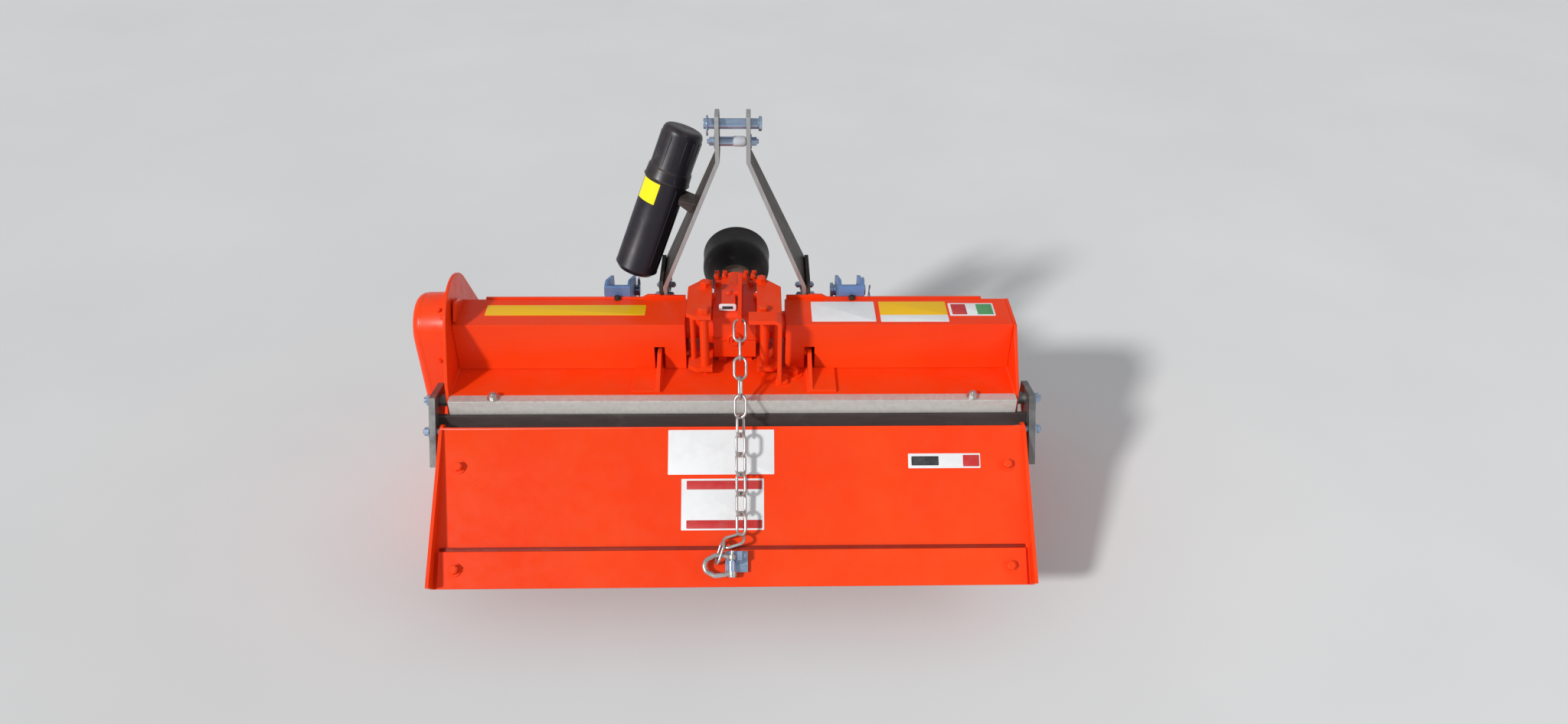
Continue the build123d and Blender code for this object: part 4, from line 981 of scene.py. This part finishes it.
hoop = []
for step in range(20):
    angle = math.tau * step / 20
    fore = 62 + 9 * math.cos(angle) + 6 * math.sin(angle)
    hoop.append(spot(264 + 1.5 * math.sin(2 * angle), fore, 448 + 15 * math.sin(angle)))
bent_rods(
    "hitch_wire_ring", [hoop], "bright zinc", "frame", 2.2, bend=2, closed=True, corner_steps=1, facets=8
)
collar = [(0, 8), (0, 14), (1, 15), (5, 15), (6, 14), (6, 8)]
for word, side in SIDES:
    foot = spot(side * HITCH_OUT - 36, HITCH_FORE, HITCH_UP)
    put(f"hitch_pin_collar_{word}", turned(collar, foot, RIGHT, 36), "bright zinc", "frame")
    clip = [
        spot(side * HITCH_OUT + 31.5, fore, up) for fore, up in (
            (HITCH_FORE, 411), (HITCH_FORE, 440), (120, 446), (134, 441), (139, 427), (134, 414), (122, 409),
        )
    ]
    bent_rods(f"hitch_clip_{word}", [clip], "bright zinc", "frame", 3.2, bend=7)

# Plates at the left end of the cover, and the kicked foot of the side bracket
gusset = [spot(-521, fore, up) for fore, up in ((20, 458), (-52, 458), (-62, 466), (-42, 496), (-20, 492))]
put("end_gusset", plate_of(gusset, RIGHT * 0.004), "sheet paint", "frame")
foot = [spot(across, fore, HOOD_TOP) for across, fore in ((84, -122), (84, -89), (100, -93), (100, -118))]
put("bracket_foot", plate_of(foot, TOP * 0.006), "sheet paint", "frame")

# Welds where the plates meet
HOOD_SEAM, BOSS_SEAM = HOOD_TOP + 0.5, GEARBOX_TOP + 0.5
seams = []
for side in (-1, 1):
    wall = side * 524.2
    seams += [
        ([spot(wall, -146, HOOD_SEAM), spot(wall, -68, HOOD_SEAM)], 3.0),
        ([spot(wall, 30, HOOD_SEAM), spot(wall, 58, HOOD_SEAM), spot(wall, 150, 321.5)], 3.0),
        ([spot(side * 137.6, -142, HOOD_SEAM), spot(side * 137.6, -70, HOOD_SEAM)], 2.6),
    ]
    for cheek in (side * HITCH_OUT - 25, side * HITCH_OUT + 25):
        seams.append(([spot(cheek, 33, 400), spot(cheek, 33, 455)], 2.6))
    seams.append(([spot(side * 147, 33.5, 400), spot(side * 147, 33.5, 462)], 2.6))
    seams.append(([spot(side * 531.5, -150, 94), spot(side * 531.5, 150, 94)], 3.0))
for across in (8, 13.5):
    seams.append(([spot(across, -56, BOSS_SEAM), spot(across, 42, BOSS_SEAM)], 2.4))
seams.append(([spot(80, -120, 362), spot(80, -91, 362)], 2.8))
welds("painted_welds", seams, "sheet paint", "frame")
welds("gearbox_seam", [
    ([spot(start, -59, DRIVE_UP), spot(start + 20, -59, DRIVE_UP)], 1.8) for start in (-38, 18)
], "cast paint", "frame")

# Blank panels on the covers, the gearbox and the board, and a painted shadow along the board's lap
for name, across, fore, wide, high, finish, lift in (
    ("cover_panel_long", -319.5, -13, 301, 35, "yellow film", 0),
    ("cover_panel_white", 206.5, -19, 121, 68, "white film", 0),
    ("cover_panel_yellow", 340.5, -8, 129, 46, "yellow film", 0),
    ("cover_panel_foot", 340.5, -42.5, 129, 23, "white film", 0),
    ("cover_panel_end", 453, -12.5, 87, 43, "white film", 0),
    ("cover_panel_end_red", 428.4, -12.5, 28, 35, "red film", 0.5),
    ("cover_panel_end_green", 477.8, -12.5, 30, 35, "green film", 0.5),
):
    film(name, spot(across, fore, COVER_TOP), RIGHT, FORE, wide, high, finish, "frame", lift=lift)
gearbox_panel = spot(-12.5, -45, 486.5)
film("gearbox_panel", gearbox_panel, RIGHT, TOP, 32, 15.5, "white film", "frame", corner=4.0, lift=0.2)
film("gearbox_panel_mark", spot(-12.5, -45, 486), RIGHT, TOP, 20, 6, "ink film", "frame", lift=0.8)
for name, across, down, wide, high, finish, lift in (
    ("board_panel_upper", -24, 43, 194, 82, "white film", 0),
    ("board_panel_lower", -21, 138, 150, 93, "white film", 0),
    ("board_band_top", -18, 103, 137, 16, "red film", 0.5),
    ("board_band_foot", -18, 174, 137, 15, "red film", 0.5),
    ("board_panel_small", 385.5, 61, 133, 27, "white film", 0),
    ("board_panel_small_end", 435, 61, 30, 21, "red film", 0.5),
    ("board_panel_small_dark", 350, 61, 50, 17, "ink film", 0.5),
):
    start, end = (BOARD_HEAD, BOARD_CREASE) if down < BOARD_CREASE[0] else (BOARD_CREASE, BOARD_EDGE)
    slope = (end[1] - start[1]) / (end[0] - start[0])
    up = (BOARD_UP - BOARD_OUT * slope).normalized()
    centre = on_board(across, down, start[1] + slope * (down - start[0]))
    film(name, centre, RIGHT, up, wide, high, finish, "board", lift=lift + 0.02)
# A dark red band along the top edge of the board's strip: painted shadow of the gap at the lap
lap = on_board(0, 216, 5.0)
film(
    "board_lap_painted_shadow", lap, RIGHT, BOARD_UP, 1051, 6.5, "seam seal", "board",
    corner=0.6, proud=0.8, lift=0.1,
)

# Floor, light and camera
FLOOR_HALF = 14.0
floor_mesh = bpy.data.meshes.new("studio_floor")
corners = [(x * FLOOR_HALF, y * FLOOR_HALF, 0) for x, y in ((-1, -1), (1, -1), (1, 1), (-1, 1))]
floor_mesh.from_pydata(corners, [], [(0, 1, 2, 3)])
floor = bpy.data.objects.new("studio_floor", floor_mesh)
bpy.context.scene.collection.objects.link(floor)
ground = Finish("pale floor", (0.74, 0.74, 0.73), 0.85)
patches = ground.span(ground.noise(1.4, 3), 0.3, 0.7)
ground.paint(ground.mix(patches, (0.73, 0.73, 0.72), (0.77, 0.77, 0.76)))
floor_mesh.materials.append(ground.material)

scene = bpy.context.scene
scene.view_settings.view_transform = "Standard"
world = bpy.data.worlds.new("studio")
world.use_nodes = True
world.node_tree.nodes["Background"].inputs["Color"].default_value = (0.92, 0.95, 1.0, 1)
world.node_tree.nodes["Background"].inputs["Strength"].default_value = 0.42
scene.world = world


def lamp(name, kind, place, target, power, size):
    """A lamp aimed at the machine: a sun's size is its angle in degrees, a panel's its side in metres."""
    data = bpy.data.lights.new(name, kind)
    data.energy = power
    if kind == "SUN":
        data.angle = math.radians(size)
    else:
        data.size = size
    made = bpy.data.objects.new(name, data)
    scene.collection.objects.link(made)
    made.location = place
    made.rotation_mode = "QUATERNION"
    made.rotation_quaternion = (Vector(target) - Vector(place)).to_track_quat("-Z", "Y")


LIT_PLACE = (0, 0, 0.3)
lamp("key_sun", "SUN", (-3.0, -3.0, 3.1), LIT_PLACE, 2.4, 6)
lamp("side_soft", "AREA", (2.6, -1.6, 2.2), LIT_PLACE, 12, 1.6)

lens = bpy.data.cameras.new("photo_view")
lens.sensor_fit, lens.sensor_width, lens.lens = "HORIZONTAL", 36.0, 25.54
camera = bpy.data.objects.new("photo_view", lens)
scene.collection.objects.link(camera)
EYE = spot(38, -1785, 1626)
PITCH, YAW, ROLL = math.radians(36.03), math.radians(1.86), math.radians(0.92)
forward = Vector((math.sin(YAW) * math.cos(PITCH), math.cos(YAW) * math.cos(PITCH), -math.sin(PITCH)))
level_right = Vector((math.cos(YAW), -math.sin(YAW), 0))
level_up = level_right.cross(forward)
image_right = level_right * math.cos(ROLL) + level_up * math.sin(ROLL)
image_up = level_up * math.cos(ROLL) - level_right * math.sin(ROLL)
camera_turn = Matrix((image_right, image_up, -forward)).transposed()
camera.matrix_world = Matrix.Translation(EYE) @ camera_turn.to_4x4()
scene.camera = camera
